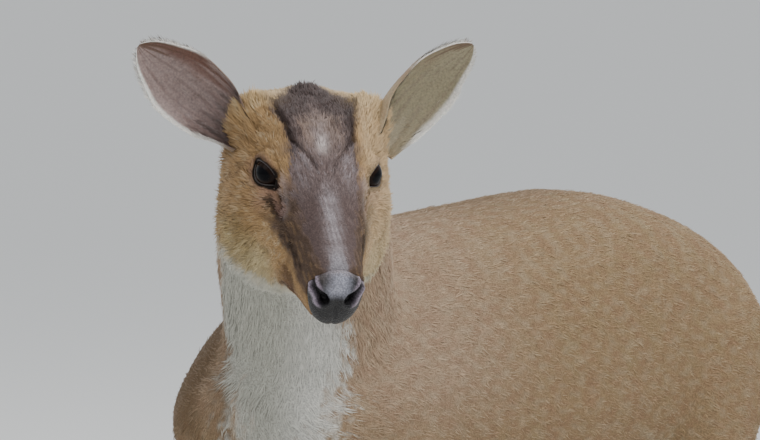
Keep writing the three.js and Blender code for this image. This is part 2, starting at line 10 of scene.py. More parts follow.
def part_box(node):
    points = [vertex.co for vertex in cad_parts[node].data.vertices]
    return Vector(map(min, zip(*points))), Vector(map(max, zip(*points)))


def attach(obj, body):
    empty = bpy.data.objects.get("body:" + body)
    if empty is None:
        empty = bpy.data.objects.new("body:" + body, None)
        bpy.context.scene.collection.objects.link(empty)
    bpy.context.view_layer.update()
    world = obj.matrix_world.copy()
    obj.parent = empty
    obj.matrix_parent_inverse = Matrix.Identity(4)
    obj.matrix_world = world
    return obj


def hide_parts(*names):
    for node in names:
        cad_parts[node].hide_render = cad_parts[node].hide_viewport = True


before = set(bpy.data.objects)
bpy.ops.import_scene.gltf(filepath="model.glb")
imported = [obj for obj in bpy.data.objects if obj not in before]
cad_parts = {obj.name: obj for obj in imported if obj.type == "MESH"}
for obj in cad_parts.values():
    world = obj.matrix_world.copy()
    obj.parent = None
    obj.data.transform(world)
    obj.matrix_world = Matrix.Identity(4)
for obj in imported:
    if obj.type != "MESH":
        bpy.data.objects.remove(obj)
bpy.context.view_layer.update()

# Camera
# A long lens four metres off, a little above her head and to the left of her front. It looks into
# her turned face, and her back and rump fall behind it on the right. It aims beside her nose.

LENS = 300
SENSOR = 36
DISTANCE = 4.0
AZIMUTH = 37
ELEVATION = 4
AIM_RIGHT = 0.0289
AIM_UP = 0.045
FAR_CLIP = 150


def middle_of(node):
    low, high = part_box(node)
    return (Vector(low) + Vector(high)) / 2


# The way out from her, in degrees round from her front to her left and degrees up.
def way_out(azimuth, elevation):
    turn, lift = math.radians(azimuth), math.radians(elevation)
    return Vector((math.sin(turn) * math.cos(lift), -math.cos(turn) * math.cos(lift), math.sin(lift)))


def linked(name, data):
    item = bpy.data.objects.new(name, data)
    bpy.context.scene.collection.objects.link(item)
    return item


def set_up(name, data, place, way):
    item = linked(name, data)
    item.location = place
    item.rotation_euler = way.to_track_quat("Z", "Y").to_euler()
    return item


toward_camera = way_out(AZIMUTH, ELEVATION)
aim = middle_of("nose") + AIM_RIGHT * way_out(AZIMUTH + 90, 0) + Vector((0, 0, AIM_UP))
camera_data = bpy.data.cameras.new("camera")
camera_data.lens = LENS
camera_data.sensor_width = SENSOR
camera_data.clip_end = FAR_CLIP
bpy.context.scene.camera = set_up("camera", camera_data, aim + DISTANCE * toward_camera, toward_camera)

# Floor and light
# A plain pale floor that runs back past the top of the picture, under a pale even sky with one
# broad soft light high on the camera's right, a weaker one on its left and one that rims her back.

FLOOR_REACH = 60
PAPER = (0.8, 0.8, 0.78, 1)
SKY = (0.93, 0.96, 1.0, 1)
LIT_PLACE = Vector((0, -0.15, 0.35))

# Degrees round from her front and up, distance, width and power
LIGHTS = {
    "key_light": (100, 52, 2.6, 1.6, 48),
    "fill_light": (-15, 40, 3.0, 2.0, 14),
    "back_light": (190, 50, 3.0, 1.6, 30),
}


def new_piece(name, points, faces):
    mesh = bpy.data.meshes.new(name)
    mesh.from_pydata(np.asarray(points).tolist(), [], faces)
    mesh.update()
    return linked(name, mesh)


def studio_floor():
    corners = FLOOR_REACH * np.array([(-1, -1, 0), (1, -1, 0), (1, 1, 0), (-1, 1, 0)])
    floor = new_piece("studio_floor", corners, [(0, 1, 2, 3)])
    paper = bpy.data.materials.new("studio_paper")
    paper.use_nodes = True
    sockets = paper.node_tree.nodes["Principled BSDF"].inputs
    sockets["Base Color"].default_value = PAPER
    sockets["Roughness"].default_value = 0.9
    floor.data.materials.append(paper)


def soft_light(name, azimuth, elevation, distance, size, power):
    way = way_out(azimuth, elevation)
    lamp = bpy.data.lights.new(name, "AREA")
    lamp.shape = "DISK"
    lamp.size = size
    lamp.energy = power
    set_up(name, lamp, LIT_PLACE + distance * way, way)


studio_floor()
for light, values in LIGHTS.items():
    soft_light(light, *values)
sky = bpy.data.worlds.new("studio_sky")
sky.use_nodes = True
sky.node_tree.nodes["Background"].inputs["Color"].default_value = SKY
sky.node_tree.nodes["Background"].inputs["Strength"].default_value = 0.8
bpy.context.scene.world = sky

# Skin
# Her hide in one closed piece from the lips to the hooves, thin and loose over muscle and bone.
# It is drawn over her flesh, lies inside the outline by the depth of her coat, and is finest on the
# head, where it folds at the lids, the gland slits, the brow and the mouth.

MM = 0.001
HEAD_LENGTH = 198
HEAD_WIDTH = 101.5
EYE_AT = (28.0, 104.0, 23.5)

# How far her head is turned to her left, bowed and leaned, in degrees
HEAD_TURNS = ((47.1, "Z"), (30, "X"), (2, "Y"))

yaw, pitch, roll = (Matrix.Rotation(math.radians(angle), 3, axis) for angle, axis in HEAD_TURNS)
head_axes = np.array(yaw @ pitch @ roll)
between_eyes = np.array((middle_of("eye_left") + middle_of("eye_right")) / 2)
head_zero = between_eyes - head_axes @ (np.array((0, EYE_AT[1], EYE_AT[2])) * MM)


# Head places are millimetres to her left, back from the tip of the nose, and up through the crown.
def in_head(points):
    return (points - head_zero) @ head_axes / MM


def from_head(places):
    return head_zero + np.asarray(places) @ head_axes.T * MM


def on_left(places):
    return np.c_[np.abs(places[:, 0]), places[:, 1:]]


def mirrored(places, side):
    return np.asarray(places, float) * (side, 1, 1)


# From 0 at low to 1 at high, with soft ends
def ease(x, low, high):
    t = np.clip((x - low) / (high - low), 0, 1)
    return t * t * (3 - 2 * t)


def hump(x, centre, width):
    return np.exp(-(((x - centre) / width) ** 2))


def unit(ways):
    return ways / (np.linalg.norm(ways, axis=-1, keepdims=True) + 1e-9)


def far_from(places, at):
    return np.linalg.norm(places - np.array(at), axis=-1)


def full_turn(steps):
    return np.linspace(0, 2 * np.pi, steps, endpoint=False)


# The row at each place of a table, where 1.5 is half way between its second and third rows.
def table_row(rows, place):
    rows = np.asarray(rows, float)
    last = len(rows) - 1
    first = np.clip(np.floor(place).astype(int), 0, last - 1)
    u = (place - first)[..., None]
    a, b, c, d = (rows[np.clip(first + k, 0, last)] for k in (-1, 0, 1, 2))
    bend = 2 * b + (c - a) * u
    return 0.5 * (bend + (2 * a - 5 * b + 4 * c - d) * u**2 + (3 * b - a - 3 * c + d) * u**3)


# Share of the head's length back from the nose, top, bottom and widest level as shares of the
# length, half width as a share of the width, and squareness above and below the widest level
HEAD_ROWS = [
    [0.0, 0.03, -0.06, -0.015, 0.07, 2.0, 2.0],
    [0.02, 0.068, -0.112, -0.015, 0.14, 2.2, 2.1],
    [0.065, 0.095, -0.145, -0.02, 0.178, 2.3, 2.2],
    [0.15, 0.116, -0.168, -0.03, 0.2, 2.3, 2.3],
    [0.255, 0.147, -0.205, -0.04, 0.25, 2.2, 2.3],
    [0.37, 0.192, -0.26, -0.05, 0.35, 2.1, 2.4],
    [0.47, 0.23, -0.318, -0.065, 0.45, 2.1, 2.7],
    [0.57, 0.258, -0.35, -0.085, 0.505, 2.3, 3.0],
    [0.69, 0.258, -0.352, -0.095, 0.525, 2.9, 3.0],
    [0.81, 0.244, -0.31, -0.06, 0.51, 3.6, 2.5],
    [0.92, 0.203, -0.23, -0.01, 0.42, 3.1, 2.0],
    [0.985, 0.128, -0.11, 0.015, 0.22, 2.0, 2.0],
    [1.0, 0.07, -0.03, 0.02, 0.06, 2.0, 2.0],
]

# Local forms of the face: where each lies on her left side, how wide it spreads and how far it
# stands out. A form off the middle is repeated on her right side.
FACE_FORMS = [
    ((35, 99, 44), 15, 3.0),  # brow over the eye
    ((32, 78, 14), 13, -3.5),  # hollow in front of the eye
    ((50, 100, -2), 18, 1.0),  # cheekbone
    ((48, 126, -40), 26, 5.5),  # full cheek
    ((38, 96, -50), 20, 3.0),  # jaw
    ((24, 126, 56), 14, 2.5),  # low knob beside the crown
    ((0, 172, 44), 11, 4.0),  # tuft on the crown
    ((44, 153, 40), 16, 9.0),  # root of the ear
    ((0, 100, 50), 14, -2.0),  # shallow dip between the brows
    ((14, 9, 2), 8, 2.0),  # wing of the nostril
    ((18, 30, -10), 13, 1.8),  # upper lip
    ((0, 20, -24), 12, 1.5),  # chin
]


def head_section(back):
    starts = [row[0] for row in HEAD_ROWS]
    place = np.interp(np.asarray(back, float) / HEAD_LENGTH, starts, np.arange(len(starts)))
    _, top, bottom, level, half, above, below = np.moveaxis(table_row(HEAD_ROWS, place), -1, 0)
    return top * HEAD_LENGTH, bottom * HEAD_LENGTH, level * HEAD_LENGTH, half * HEAD_WIDTH, above, below


def with_forms(places):
    start = places
    middle = start * (0, 1, 0)
    middle[..., 2] = head_section(start[..., 1])[2]
    outward = unit(start - middle)
    for at, spread, out in FACE_FORMS:
        for side in (1, -1) if at[0] else (1,):
            form = out * hump(far_from(start, mirrored(at, side)), 0, spread)
            places = places + outward * form[..., None]
    return places


# Places on the smooth face, at a distance back and an angle round from her left through the top.
def face_at(back, angle):
    back, angle = np.broadcast_arrays(np.asarray(back, float), np.asarray(angle, float))
    top, bottom, level, half, above, below = head_section(back)
    upper = np.sin(angle) > 0
    power = 2 / np.where(upper, above, below)
    reach = np.where(upper, top - level, level - bottom)
    across = half * np.sign(np.cos(angle)) * np.abs(np.cos(angle)) ** power
    lift = reach * np.sign(np.sin(angle)) * np.abs(np.sin(angle)) ** power
    return with_forms(np.stack([across, back, level + lift], -1))


# Moves places of the head along their own ray from the middle of the section onto the smooth face.
def onto_face(places):
    top, bottom, level, half, above, below = head_section(places[:, 1])
    ray = unit(np.stack([places[:, 0], places[:, 2] - level], -1))
    power = np.where(ray[:, 1] > 0, above, below)
    reach = np.where(ray[:, 1] > 0, top - level, level - bottom)
    far = (np.abs(ray[:, 0] / half) ** power + np.abs(ray[:, 1] / reach) ** power) ** (-1 / power)
    return with_forms(np.stack([ray[:, 0] * far, places[:, 1], level + ray[:, 1] * far], -1))


# Faces of four corners between rows of points, the rows closed round or open at their ends.
def grid_faces(rows, across, closed=True):
    faces = []
    for r in range(rows - 1):
        for k in range(across if closed else across - 1):
            here, beside = r * across + k, r * across + (k + 1) % across
            faces.append((here, beside, beside + across, here + across))
    return faces


# A closed surface through rings of points, each end closed on its middle.
def loft(rings):
    rings = np.asarray(rings, float)
    count, sides = rings.shape[:2]
    points = np.concatenate([rings.reshape(-1, 3), rings[0].mean(0)[None], rings[-1].mean(0)[None]])
    faces = grid_faces(count, sides)
    end = (count - 1) * sides
    for k in range(sides):
        faces.append(((k + 1) % sides, k, count * sides))
        faces.append((end + k, end + (k + 1) % sides, count * sides + 1))
    return points, faces


def skull(rings=64, sides=72):
    back = table_row(HEAD_ROWS, np.linspace(0, len(HEAD_ROWS) - 1, rings))[:, 0] * HEAD_LENGTH
    return loft(from_head(face_at(back[:, None], full_turn(sides)[None, :])[:, ::-1]))


# A CAD solid's surface with its corners joined, swollen a little so that it meets its neighbours.
SWELL = 0.0007


def flesh_of(node):
    shape = bmesh.new()
    shape.from_mesh(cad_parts[node].data)
    bmesh.ops.remove_doubles(shape, verts=shape.verts, dist=1e-6)
    shape.normal_update()
    points = np.array([v.co + SWELL * v.normal for v in shape.verts])
    faces = [tuple(v.index for v in f.verts) for f in shape.faces]
    shape.free()
    return points, faces


# The bone and flesh of the tail, which the long hair hides: millimetres forward of the tail's back
# and up from its cut end, half width and half thickness
DOCK_ROWS = [
    [71, 40, 11, 9],
    [40, 36, 13, 10],
    [16, 9, 15, 9],
    [9, -28, 15, 7],
    [8, -61, 11, 6],
    [8, -84, 3, 2],
]


def corners_of(node):
    return (np.array(corner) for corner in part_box(node))


def dock(sides=24):
    low, high = corners_of("tail")
    turn = full_turn(sides)
    rings = []
    for forward, lift, half, deep in table_row(DOCK_ROWS, np.linspace(0, len(DOCK_ROWS) - 1, 26)) * MM:
        x = (low[0] + high[0]) / 2 + half * np.cos(turn)
        y = high[1] - forward + deep * np.sin(turn)
        rings.append(np.stack([x, y, np.full(sides, high[2] + lift)], -1)[::-1])
    return loft(rings)


trunk_middle = middle_of("barrel")[0]
LEG_NAMES = ["foreleg_left", "foreleg_right", "hindleg_left", "hindleg_right"]
LEG_PIECES = {"foreleg": ["forearm", "cannon", "foot"], "hindleg": ["shank", "cannon", "foot"]}
leg_nodes = [f"{leg}_{piece}" for leg in LEG_NAMES for piece in LEG_PIECES[leg.split("_")[0]]]
HEAD, NECK, TRUNK, LEG, TAIL = range(5)
flesh = [(skull(), HEAD), (flesh_of("neck"), NECK), (dock(), TAIL)]
flesh += [(flesh_of(node), TRUNK) for node in ("shoulders", "barrel", "haunches")]
flesh += [(flesh_of(node), LEG) for node in leg_nodes]


def joined_flesh():
    points, faces, parts = [], [], []
    start = 0
    for (own_points, own_faces), part in flesh:
        points.append(own_points)
        faces += [tuple(start + i for i in face) for face in own_faces]
        parts += [part] * len(own_faces)
        start += len(own_points)
    return np.concatenate(points), faces, np.array(parts)


HIDE_GRAIN = 0.0032
flesh_points, flesh_faces, flesh_parts = joined_flesh()
hide = new_piece("skin", flesh_points, flesh_faces)
drawn = hide.modifiers.new("drawn_over", "REMESH")
drawn.mode = "VOXEL"
drawn.voxel_size = HIDE_GRAIN
hide.data = bpy.data.meshes.new_from_object(hide.evaluated_get(bpy.context.evaluated_depsgraph_get()))
hide.modifiers.clear()


def values_of(items, what, wide=3, kind=np.float32):
    values = np.empty(len(items) * wide, kind)
    items.foreach_get(what, values)
    return values.reshape(-1, wide)


def points_of(mesh, what="co"):
    return values_of(mesh.vertices, what).astype(float)


def edges_of(mesh):
    return values_of(mesh.edges, "vertices", 2, np.int32)


def neighbour_mean(values, edges):
    a, b = np.concatenate([edges, edges[:, ::-1]]).T
    count = np.bincount(a, minlength=len(values))[:, None]
    total = np.stack([np.bincount(a, values[b, c], len(values)) for c in range(values.shape[1])], 1)
    return total / np.maximum(count, 1)


# Draws each point's values toward the mean of its neighbours.
def softened(values, edges, times, share=0.5):
    for _ in range(times):
        values = (1 - share) * values + share * neighbour_mean(values, edges)
    return values


# Smooths without shrinking: each pass draws in and then lets out a little more.
def relaxed(points, edges, times, share):
    for _ in range(times):
        points = softened(softened(points, edges, 1, 0.5 * share), edges, 1, -0.53 * share)
    return points


hide_tree = BVHTree.FromPolygons(flesh_points.tolist(), flesh_faces)


def part_shares(points):
    parts = [flesh_parts[hide_tree.find_nearest(p)[2]] for p in points.tolist()]
    return np.eye(5)[parts]


# Smooths the joined flesh a little everywhere, and much on the trunk and neck and behind the head.
def settle_flesh(mesh):
    points, edges = points_of(mesh), edges_of(mesh)
    shares = softened(part_shares(points), edges, 12)
    broad = shares[:, [TRUNK]] + 0.8 * shares[:, [NECK]]
    joint = 4 * shares[:, [HEAD]] * (1 - shares[:, [HEAD]])
    points = softened(relaxed(points, edges, 12, 0.5), edges, 70, 0.5 * np.clip(broad + joint, 0, 1))
    mesh.vertices.foreach_set("co", points.ravel())
    mesh.update()


settle_flesh(hide.data)


# Splits the faces of the hide in four where its detail is finer.
def refine(mesh, wanted):
    chosen = np.flatnonzero(wanted(in_head(values_of(mesh.polygons, "center").astype(float))))
    shape = bmesh.new()
    shape.from_mesh(mesh)
    shape.faces.ensure_lookup_table()
    edges = {edge for i in chosen.tolist() for edge in shape.faces[i].edges}
    bmesh.ops.subdivide_edges(shape, edges=list(edges), cuts=1, use_grid_fill=True)
    shape.to_mesh(mesh)
    shape.free()


# Where the hide is finer: the front of the head, then the eyes, the muzzle and the folds again
def on_head(places):
    aside, y, z = on_left(places).T
    return (y < 150) & (aside < 75) & (np.abs(z) < 85)


def near_detail(places):
    aside, y, z = on_left(places).T
    eye = far_from(on_left(places), (38, 97, 27)) < 21
    muzzle = (y < 62) & (np.abs(z) < 60)
    folds = (aside < 34) & (y > 68) & (y < 135) & (z > 20)
    return eye | muzzle | folds


refine(hide.data, on_head)
refine(hide.data, near_detail)
hide_points, hide_edges = points_of(hide.data), edges_of(hide.data)
hide_shares = softened(part_shares(hide_points), hide_edges, 14)

# The head's hide lies on the smooth face as far back as the ears and the nape.
places = in_head(hide_points)
held = ease(hide_shares[:, HEAD], 0.35, 0.8) * ease(places[:, 1], 4, 9)
held *= 1 - ease(places[:, 1], 150, 172)
places += held[:, None] * (onto_face(places) - places)
hide_points = from_head(places)

# How deep the coat is over the head, neck, trunk, legs and tail, in millimetres; the face has its own
COAT_DEPTHS = (0, 1.8, 1.2, 0.8, 1.2)
MOST_LET_OUT = 0.012


def coat_depth(places, shares):
    aside, y, z = on_left(places).T
    face = 0.5 + 1.3 * ease(y, 45, 120) + 1.3 * ease(aside, 26, 48) * ease(y, 60, 110)
    face += ease(-z, 0, 40) * ease(y, 50, 90)
    return shares @ np.array(COAT_DEPTHS) + shares[:, HEAD] * face


def facing(mesh, points):
    mesh.vertices.foreach_set("co", np.asarray(points, np.float32).ravel())
    mesh.update()
    return points_of(mesh, "normal")


# The smoothing drew the broad parts in a little: this lets them out to the flesh again.
def let_out(points, normals):
    nearest = np.array([hide_tree.find_nearest(p)[0] for p in points.tolist()])
    gap = ((nearest - points) * normals).sum(1, keepdims=True)
    gap = np.clip(gap, 0, MOST_LET_OUT) * (hide_shares[:, [TRUNK]] + hide_shares[:, [NECK]])
    return points + softened(gap, hide_edges, 16) * normals


hide_points = let_out(hide_points, facing(hide.data, hide_points))
depth = coat_depth(places, hide_shares) * MM + SWELL * (1 - held)
hide_points = hide_points - softened(depth[:, None], hide_edges, 2, 1) * facing(hide.data, hide_points)
hide_points = relaxed(hide_points, hide_edges, 4, 0.6)

# The almond between the lids, in the eye's own frame of outer corner, up and outward look
EYE_RADIUS = 13
LID_RADIUS = EYE_RADIUS + 1.5
LID_REACH = 26
SUNK_BEHIND_LIDS = 3.5
EYE_LOOK = (0.8, -0.54, 0.24)
ALMOND_HALF = (11.75, 7.25)
ALMOND_BENDS = [
    [(-1, -0.52), (-1, 0.45), (-0.45, 1), (0.1, 1)],
    [(0.1, 1), (0.55, 1), (1, 0.62), (1.03, 0.1)],
    [(1.03, 0.1), (1, -0.6), (0.65, -1.03), (0.2, -1.05)],
    [(0.2, -1.05), (-0.25, -1.05), (-0.6, -0.62), (-1, -0.52)],
]


def almond(steps=18):
    t = np.linspace(0, 1, steps, endpoint=False)[:, None]
    weights = ((1 - t) ** 3, 3 * t * (1 - t) ** 2, 3 * t * t * (1 - t), t**3)
    bends = [sum(w * np.array(p) for w, p in zip(weights, bend)) for bend in ALMOND_BENDS]
    return np.concatenate(bends) * ALMOND_HALF


def eye_frame(side):
    look = mirrored(EYE_LOOK, side)
    look /= np.linalg.norm(look)
    back = side * np.cross((0, 0, 1), look)
    back /= np.linalg.norm(back)
    return mirrored(EYE_AT, side), np.stack([back, side * np.cross(look, back), look])


def in_eye(places, side):
    centre, axes = eye_frame(side)
    return (places - centre) @ axes.T


# How far out a place is from the middle of the almond: 1 is the edge of the lids.
def almond_share(own):
    edge = almond()
    around = np.arctan2(edge[:, 1], edge[:, 0])
    order = np.argsort(around)
    turn = np.arctan2(own[:, 1], own[:, 0])
    reach = np.interp(turn, around[order], np.hypot(*edge[order].T), period=2 * np.pi)
    return np.hypot(own[:, 0], own[:, 1]) / reach


def soft_max(a, b, firmness):
    return np.logaddexp(firmness * a, firmness * b) / firmness


# Height over the middle of a ball, at a distance from the line of sight
def ball_rise(radius, far):
    return np.sqrt(np.maximum(radius**2 - far**2, 0.01))


def seat_lids(places, side):
    centre, axes = eye_frame(side)
    own = in_eye(places, side)
    far = np.hypot(own[:, 0], own[:, 1])
    near = (far < LID_REACH) & (own[:, 2] > 0)
    share = almond_share(own)
    over = soft_max(own[:, 2], ball_rise(LID_RADIUS, far), 1.4)
    over = np.where(far < LID_RADIUS - 0.5, over, own[:, 2])
    above = ease(own[:, 1], -2, 4)
    crease = 0.9 * hump(share, 1.5, 0.13) * above + 0.6 * hump(share, 1.42, 0.12) * (1 - above)
    bag = 0.7 * hump(share, 1.24, 0.12) * (1 - above) + 0.8 * hump(share, 1.22, 0.14) * above
    over = over + (bag - crease) * (1 - ease(far, 18, 24))
    hole = 1 - ease(share, 0.88, 1.03)
    sunk = ball_rise(EYE_RADIUS, far) - SUNK_BEHIND_LIDS
    own[:, 2] = np.where(near, over + hole * (sunk - over), own[:, 2])
    return own @ axes + centre


# The distance of each place from a path on one side, and how far along it the nearest point lies
def from_path(places, path, side):
    path = mirrored(path, side)
    best = np.full(len(places), 1e9)
    along = np.zeros(len(places))
    for i, (a, b) in enumerate(zip(path[:-1], path[1:])):
        leg = b - a
        t = np.clip((places - a) @ leg / (leg @ leg), 0, 1)
        far = np.linalg.norm(places - (a + t[:, None] * leg), axis=1)
        closer = far < best
        best[closer] = far[closer]
        along[closer] = (i + t[closer]) / (len(path) - 1)
    return best, along


# The scent gland's slit in front of the eye, the gland fold of the brow, and the mouth
GLAND_SLIT = [(28.8, 85, 26), (28.2, 82, 22.5), (27, 76.5, 18.5), (25.8, 72.5, 15.5)]
BROW_FOLD = [
    (27, 147.5, 48),
    (25, 135, 48),
    (21.9, 119, 48),
    (19.8, 107, 45.5),
    (14.4, 98.4, 44),
    (8.3, 89.5, 41.7),
    (4.6, 79, 38.7),
]
MOUTH_START = 7
MOUTH_END = 60


def mouth_line():
    t = np.linspace(1, 0, 14)
    return face_at(MOUTH_START + (MOUTH_END - MOUTH_START) * t, -(0.62 + 0.5 * (1 - t) ** 2))


# A groove along a path, between lips that stand out at a spread to each side of it
def crease_along(places, outward, path, depth, width, lips, spread):
    for side in (1, -1):
        far, along = from_path(places, path, side)
        ends = ease(along, -0.01, 0.12) * (1 - ease(along, 0.88, 1.01))
        form = lips * hump(far, spread, 0.5 * spread) - depth * hump(far, 0, width)
        places = places + outward * (form * ends)[:, None]
    return places


def shape_face(points):
    places = in_head(points)
    outward = facing(hide.data, points) @ head_axes
    places = crease_along(places, outward, BROW_FOLD, 1.5, 1.5, 0.8, 3.4)
    places = crease_along(places, outward, GLAND_SLIT, 2.0, 1.3, 0.8, 2.6)
    places = crease_along(places, outward, mouth_line(), 1.8, 1.0, 0.9, 2.6)
    for side in (1, -1):
        places = seat_lids(places, side)
    return places


# How far back the edge of the nose pad lies, at each angle round from her left through the top
def pad_edge(around):
    up = np.sin(around)
    return 12.6 - 5.4 * np.clip(1.15 * up, 0, 1) ** 0.9 - 0.6 * np.clip(-up, 0, 1)


# The hide turns in behind the nose pad and narrows there by a share of its size.
NARROWED = 0.14


def turned_in(places):
    level = head_section(places[:, 1])[2]
    pad_back = pad_edge(np.arctan2(places[:, 2] - level, places[:, 0])) - 0.1
    behind = ease(pad_back - places[:, 1], 0, 3) * hide_shares[:, HEAD]
    places[:, 1] += behind * 1.6 * np.maximum(pad_back - places[:, 1], 0)
    places[:, 0] *= 1 - NARROWED * behind
    places[:, 2] -= NARROWED * behind * (places[:, 2] - level)
    return from_head(places)


hide_points = turned_in(shape_face(hide_points))
hide_normals = facing(hide.data, hide_points)


def srgb(red, green, blue):
    share = np.array((red, green, blue)) / 255
    return np.where(share <= 0.04045, share / 12.92, ((share + 0.055) / 1.055) ** 2.4)


# Fur of the face
GOLD = srgb(162, 130, 90)
PALE_GOLD = srgb(166, 148, 106)
# Painted light: the paler gold of her left cheek, on the side the light falls on
LIT_CHEEK_GOLD = srgb(206, 180, 142)
EAR_GOLD = srgb(196, 168, 118)
OLIVE = srgb(118, 94, 50)
STRAW = srgb(190, 174, 136)
CREAM = srgb(206, 194, 166)
WHITE = srgb(208, 206, 198)
DULL_WHITE = srgb(170, 162, 132)
GREY = srgb(106, 91, 88)
PALE_GREY = srgb(160, 151, 153)
NOSE_GREY = srgb(158, 155, 160)
BLUE_GREY = srgb(76, 70, 74)
BROW_SPOT = srgb(196, 184, 178)
BROW_BROWN = srgb(134, 113, 98)
MAUVE = srgb(88, 71, 66)
DARK_MAUVE = srgb(78, 63, 56)
UMBER = srgb(82, 58, 32)
DEEP_UMBER = srgb(44, 30, 18)
LIP_BROWN = srgb(84, 60, 40)
LID_BROWN = srgb(84, 60, 54)
LID_BLACK = srgb(16, 12, 12)
DARK = srgb(50, 38, 34)
CROWN = srgb(62, 50, 47)
PINK = srgb(146, 112, 100)
DUCT_PINK = srgb(148, 122, 114)

# Fur of the body
RUSSET = srgb(146, 116, 88)
FAWN = srgb(148, 128, 94)
FRONT_FAWN = srgb(176, 152, 132)
CLUMP_BROWN = srgb(134, 98, 80)
CLUMP_FAWN = srgb(182, 168, 146)
SABLE = srgb(92, 72, 54)
# Painted shade on her right neck and shoulder, which lie away from the light
SHADE_BROWN = srgb(92, 72, 48)
LEG_BROWN = srgb(138, 102, 72)
TAIL_RED = srgb(150, 96, 58)
# Painted shadow that the jaw casts on the top of the throat
JAW_SHADOW = srgb(116, 116, 90)


# An even wandering pattern of about -1 to 1, with waves of that size in millimetres
def ripple(points, size, seed):
    draw = np.random.default_rng(seed)
    ways = draw.normal(size=(9, 3))
    ways *= draw.uniform(0.6, 1.5, (9, 1)) / np.linalg.norm(ways, axis=1, keepdims=True)
    turns = points / (size * MM) * 2 * np.pi @ ways.T + draw.uniform(0, 2 * np.pi, 9)
    return np.sin(turns).sum(1) / 3


def plain(colour, count):
    return np.repeat(colour[None], count, 0)


# Lays colours over one another, each with its share at every point.
def painted(colours, *layers):
    for colour, share in layers:
        colours = colours + np.clip(share, 0, 1)[:, None] * (colour - colours)
    return colours


# Places of the dark brown band that runs from under the eye down the side of the muzzle
MUZZLE_BAND = [(31, 86, 15), (28.5, 80, 12), (25, 69, 9), (21.5, 55, 5), (18.5, 42, 2), (15.5, 26, -1)]

# How far back, and how far to each side the grey of the bridge and brow reaches there
GREY_EDGE = [
    (8, 16, 33, 50, 70, 85, 98, 107, 119, 135, 148, 157, 173, 184),
    (9, 12.5, 16, 18.3, 21.5, 22.6, 21, 21, 22.5, 26, 30, 19, 8, 0),
]
MOUTH_CORNER = (23, 46, -20)


# Gold with darker and paler strokes, an olive and a straw patch on the cheek, pink under the eye
def gold_layers(left, patchy, streaky, flecks):
    aside, y, z = left.T
    low = ease(6 * patchy - z, 4, 26) * ease(y, 58, 80) * (1 - 0.7 * ease(y, 104, 126))
    return (
        (PALE_GOLD, 0.8 * low),
        (CREAM, 0.35 * ease(y + 4 * patchy, 138, 165) * ease(z, 0, 30)),
        (UMBER, 0.55 * ease(streaky + 0.4 * patchy, 0.3, 1.3) * ease(aside, 22, 30)),
        (CREAM, 0.3 * ease(flecks - 0.5 * streaky, 0.4, 1.4) * ease(aside, 22, 30)),
        (OLIVE, 0.65 * hump(far_from(left, (44, 94, -15)) + 4 * patchy, 0, 14)),
        (STRAW, 0.6 * hump(far_from(left, (35, 79, -27)) + 3 * patchy, 0, 12)),
        (PINK, 0.6 * hump(far_from(left, (32, 86, 16)), 0, 8)),
    )


# Grey-brown bridge and brow, darker down the sides of the nose, with a painted highlight down the
# ridge, a pale tuft over the nose pad, a pale spot between the brows and the dark kite of the crown
def grey_layers(x, left, edge, grey, patchy, streaky, flecks):
    aside, y, z = left.T
    beside = hump(aside, 14.5, 5) * hump(y, 84, 12) * ease(streaky, -0.7, 0.8)
    # painted highlight down the ridge of the bridge, where the light falls
    ridge_highlight = hump(x, 0, 5.2 + 0.8 * streaky) * ease(y, 6, 12) * (1 - ease(y, 54, 78))
    tuft = (1 - ease(y + 2 * streaky, 10, 24)) * ease(9 - aside - 0.15 * y + streaky, 0, 5)
    kite = ease(y + 1.1 * aside + 6 * patchy + 9 * streaky, 112, 156) * ease(edge - aside, -2, 3)
    return (
        (GREY, grey),
        (MAUVE, 0.4 * grey * ease(74 - y, 0, 16) * ease(aside + streaky, 4.5, 9)),
        (MAUVE, 0.35 * grey * ease(streaky, 0.3, 1.1)),
        (PALE_GREY, 0.4 * grey * ease(flecks, 0.5, 1.5) * ease(y, 60, 80)),
        (BROW_BROWN, 0.7 * grey * hump(y, 116, 18) * (1 - ease(aside + 2 * streaky, 9, 19))),
        (PALE_GREY, 0.72 * ridge_highlight * (1 + 0.35 * streaky)),
        (NOSE_GREY, 0.7 * tuft),
        (PALE_GREY, 0.6 * beside * grey),
        (BROW_SPOT, 0.8 * hump(x, 0, 3.4) * hump(y, 101, 6)),
        (PALE_GREY, 0.35 * hump(x + 2 * streaky, 0, 7) * hump(y, 110, 12)),
        (CROWN, 0.9 * kite * (z > 10)),
    )


# Dark line along the brow fold, the tear duct and gland, and the black lids
def eye_layers(places, side, patchy, streaky):
    aside, _, z = on_left(places).T
    far, along = from_path(places, BROW_FOLD, side)
    wide = np.interp(along, (0, 0.17, 0.33, 0.5, 0.6, 0.68, 1), (4.6, 3.8, 3.2, 3.4, 1.8, 1.2, 0.7))
    wide = wide + 0.5 * streaky
    strength = np.interp(along, (0, 0.5, 0.7, 1), (0.5, 0.8, 0.75, 0.4))
    slit, _ = from_path(places, GLAND_SLIT, side)
    own = in_eye(places, side)
    share = np.where(own[:, 2] > 0, almond_share(own), 9)
    over = ease(own[:, 1], -2, 3)
    reach = 1.1 + 0.05 * (1 - over) + 0.03 * patchy + 0.14 * ease(-own[:, 0], 4, 10)
    return (
        (DARK, strength * (1 - ease(far, wide - 1.4, wide + 1.6))),
        (BLUE_GREY, 0.6 * hump(far_from(places, (side * 21, 99, 41.5)), 0, 5.5)),
        (DUCT_PINK, 0.5 * hump(far_from(places, (side * 24, 82, 27)), 0, 5.5)),
        (PALE_GREY, 0.3 * hump(slit, 5, 2.6) * (aside < 27)),
        (PINK, 0.4 * hump(slit, 3.4, 2) * (z < 20)),
        (DARK, 0.95 * (1 - ease(slit, 0.9, 2.6))),
        (PINK, 0.55 * (1 - over) * hump(share, 1.34, 0.2)),
        (LID_BROWN, 0.75 * over * hump(share, 1.22, 0.16)),
        (LID_BLACK, 0.97 * (1 - ease(share, reach, reach + 0.12))),
    )


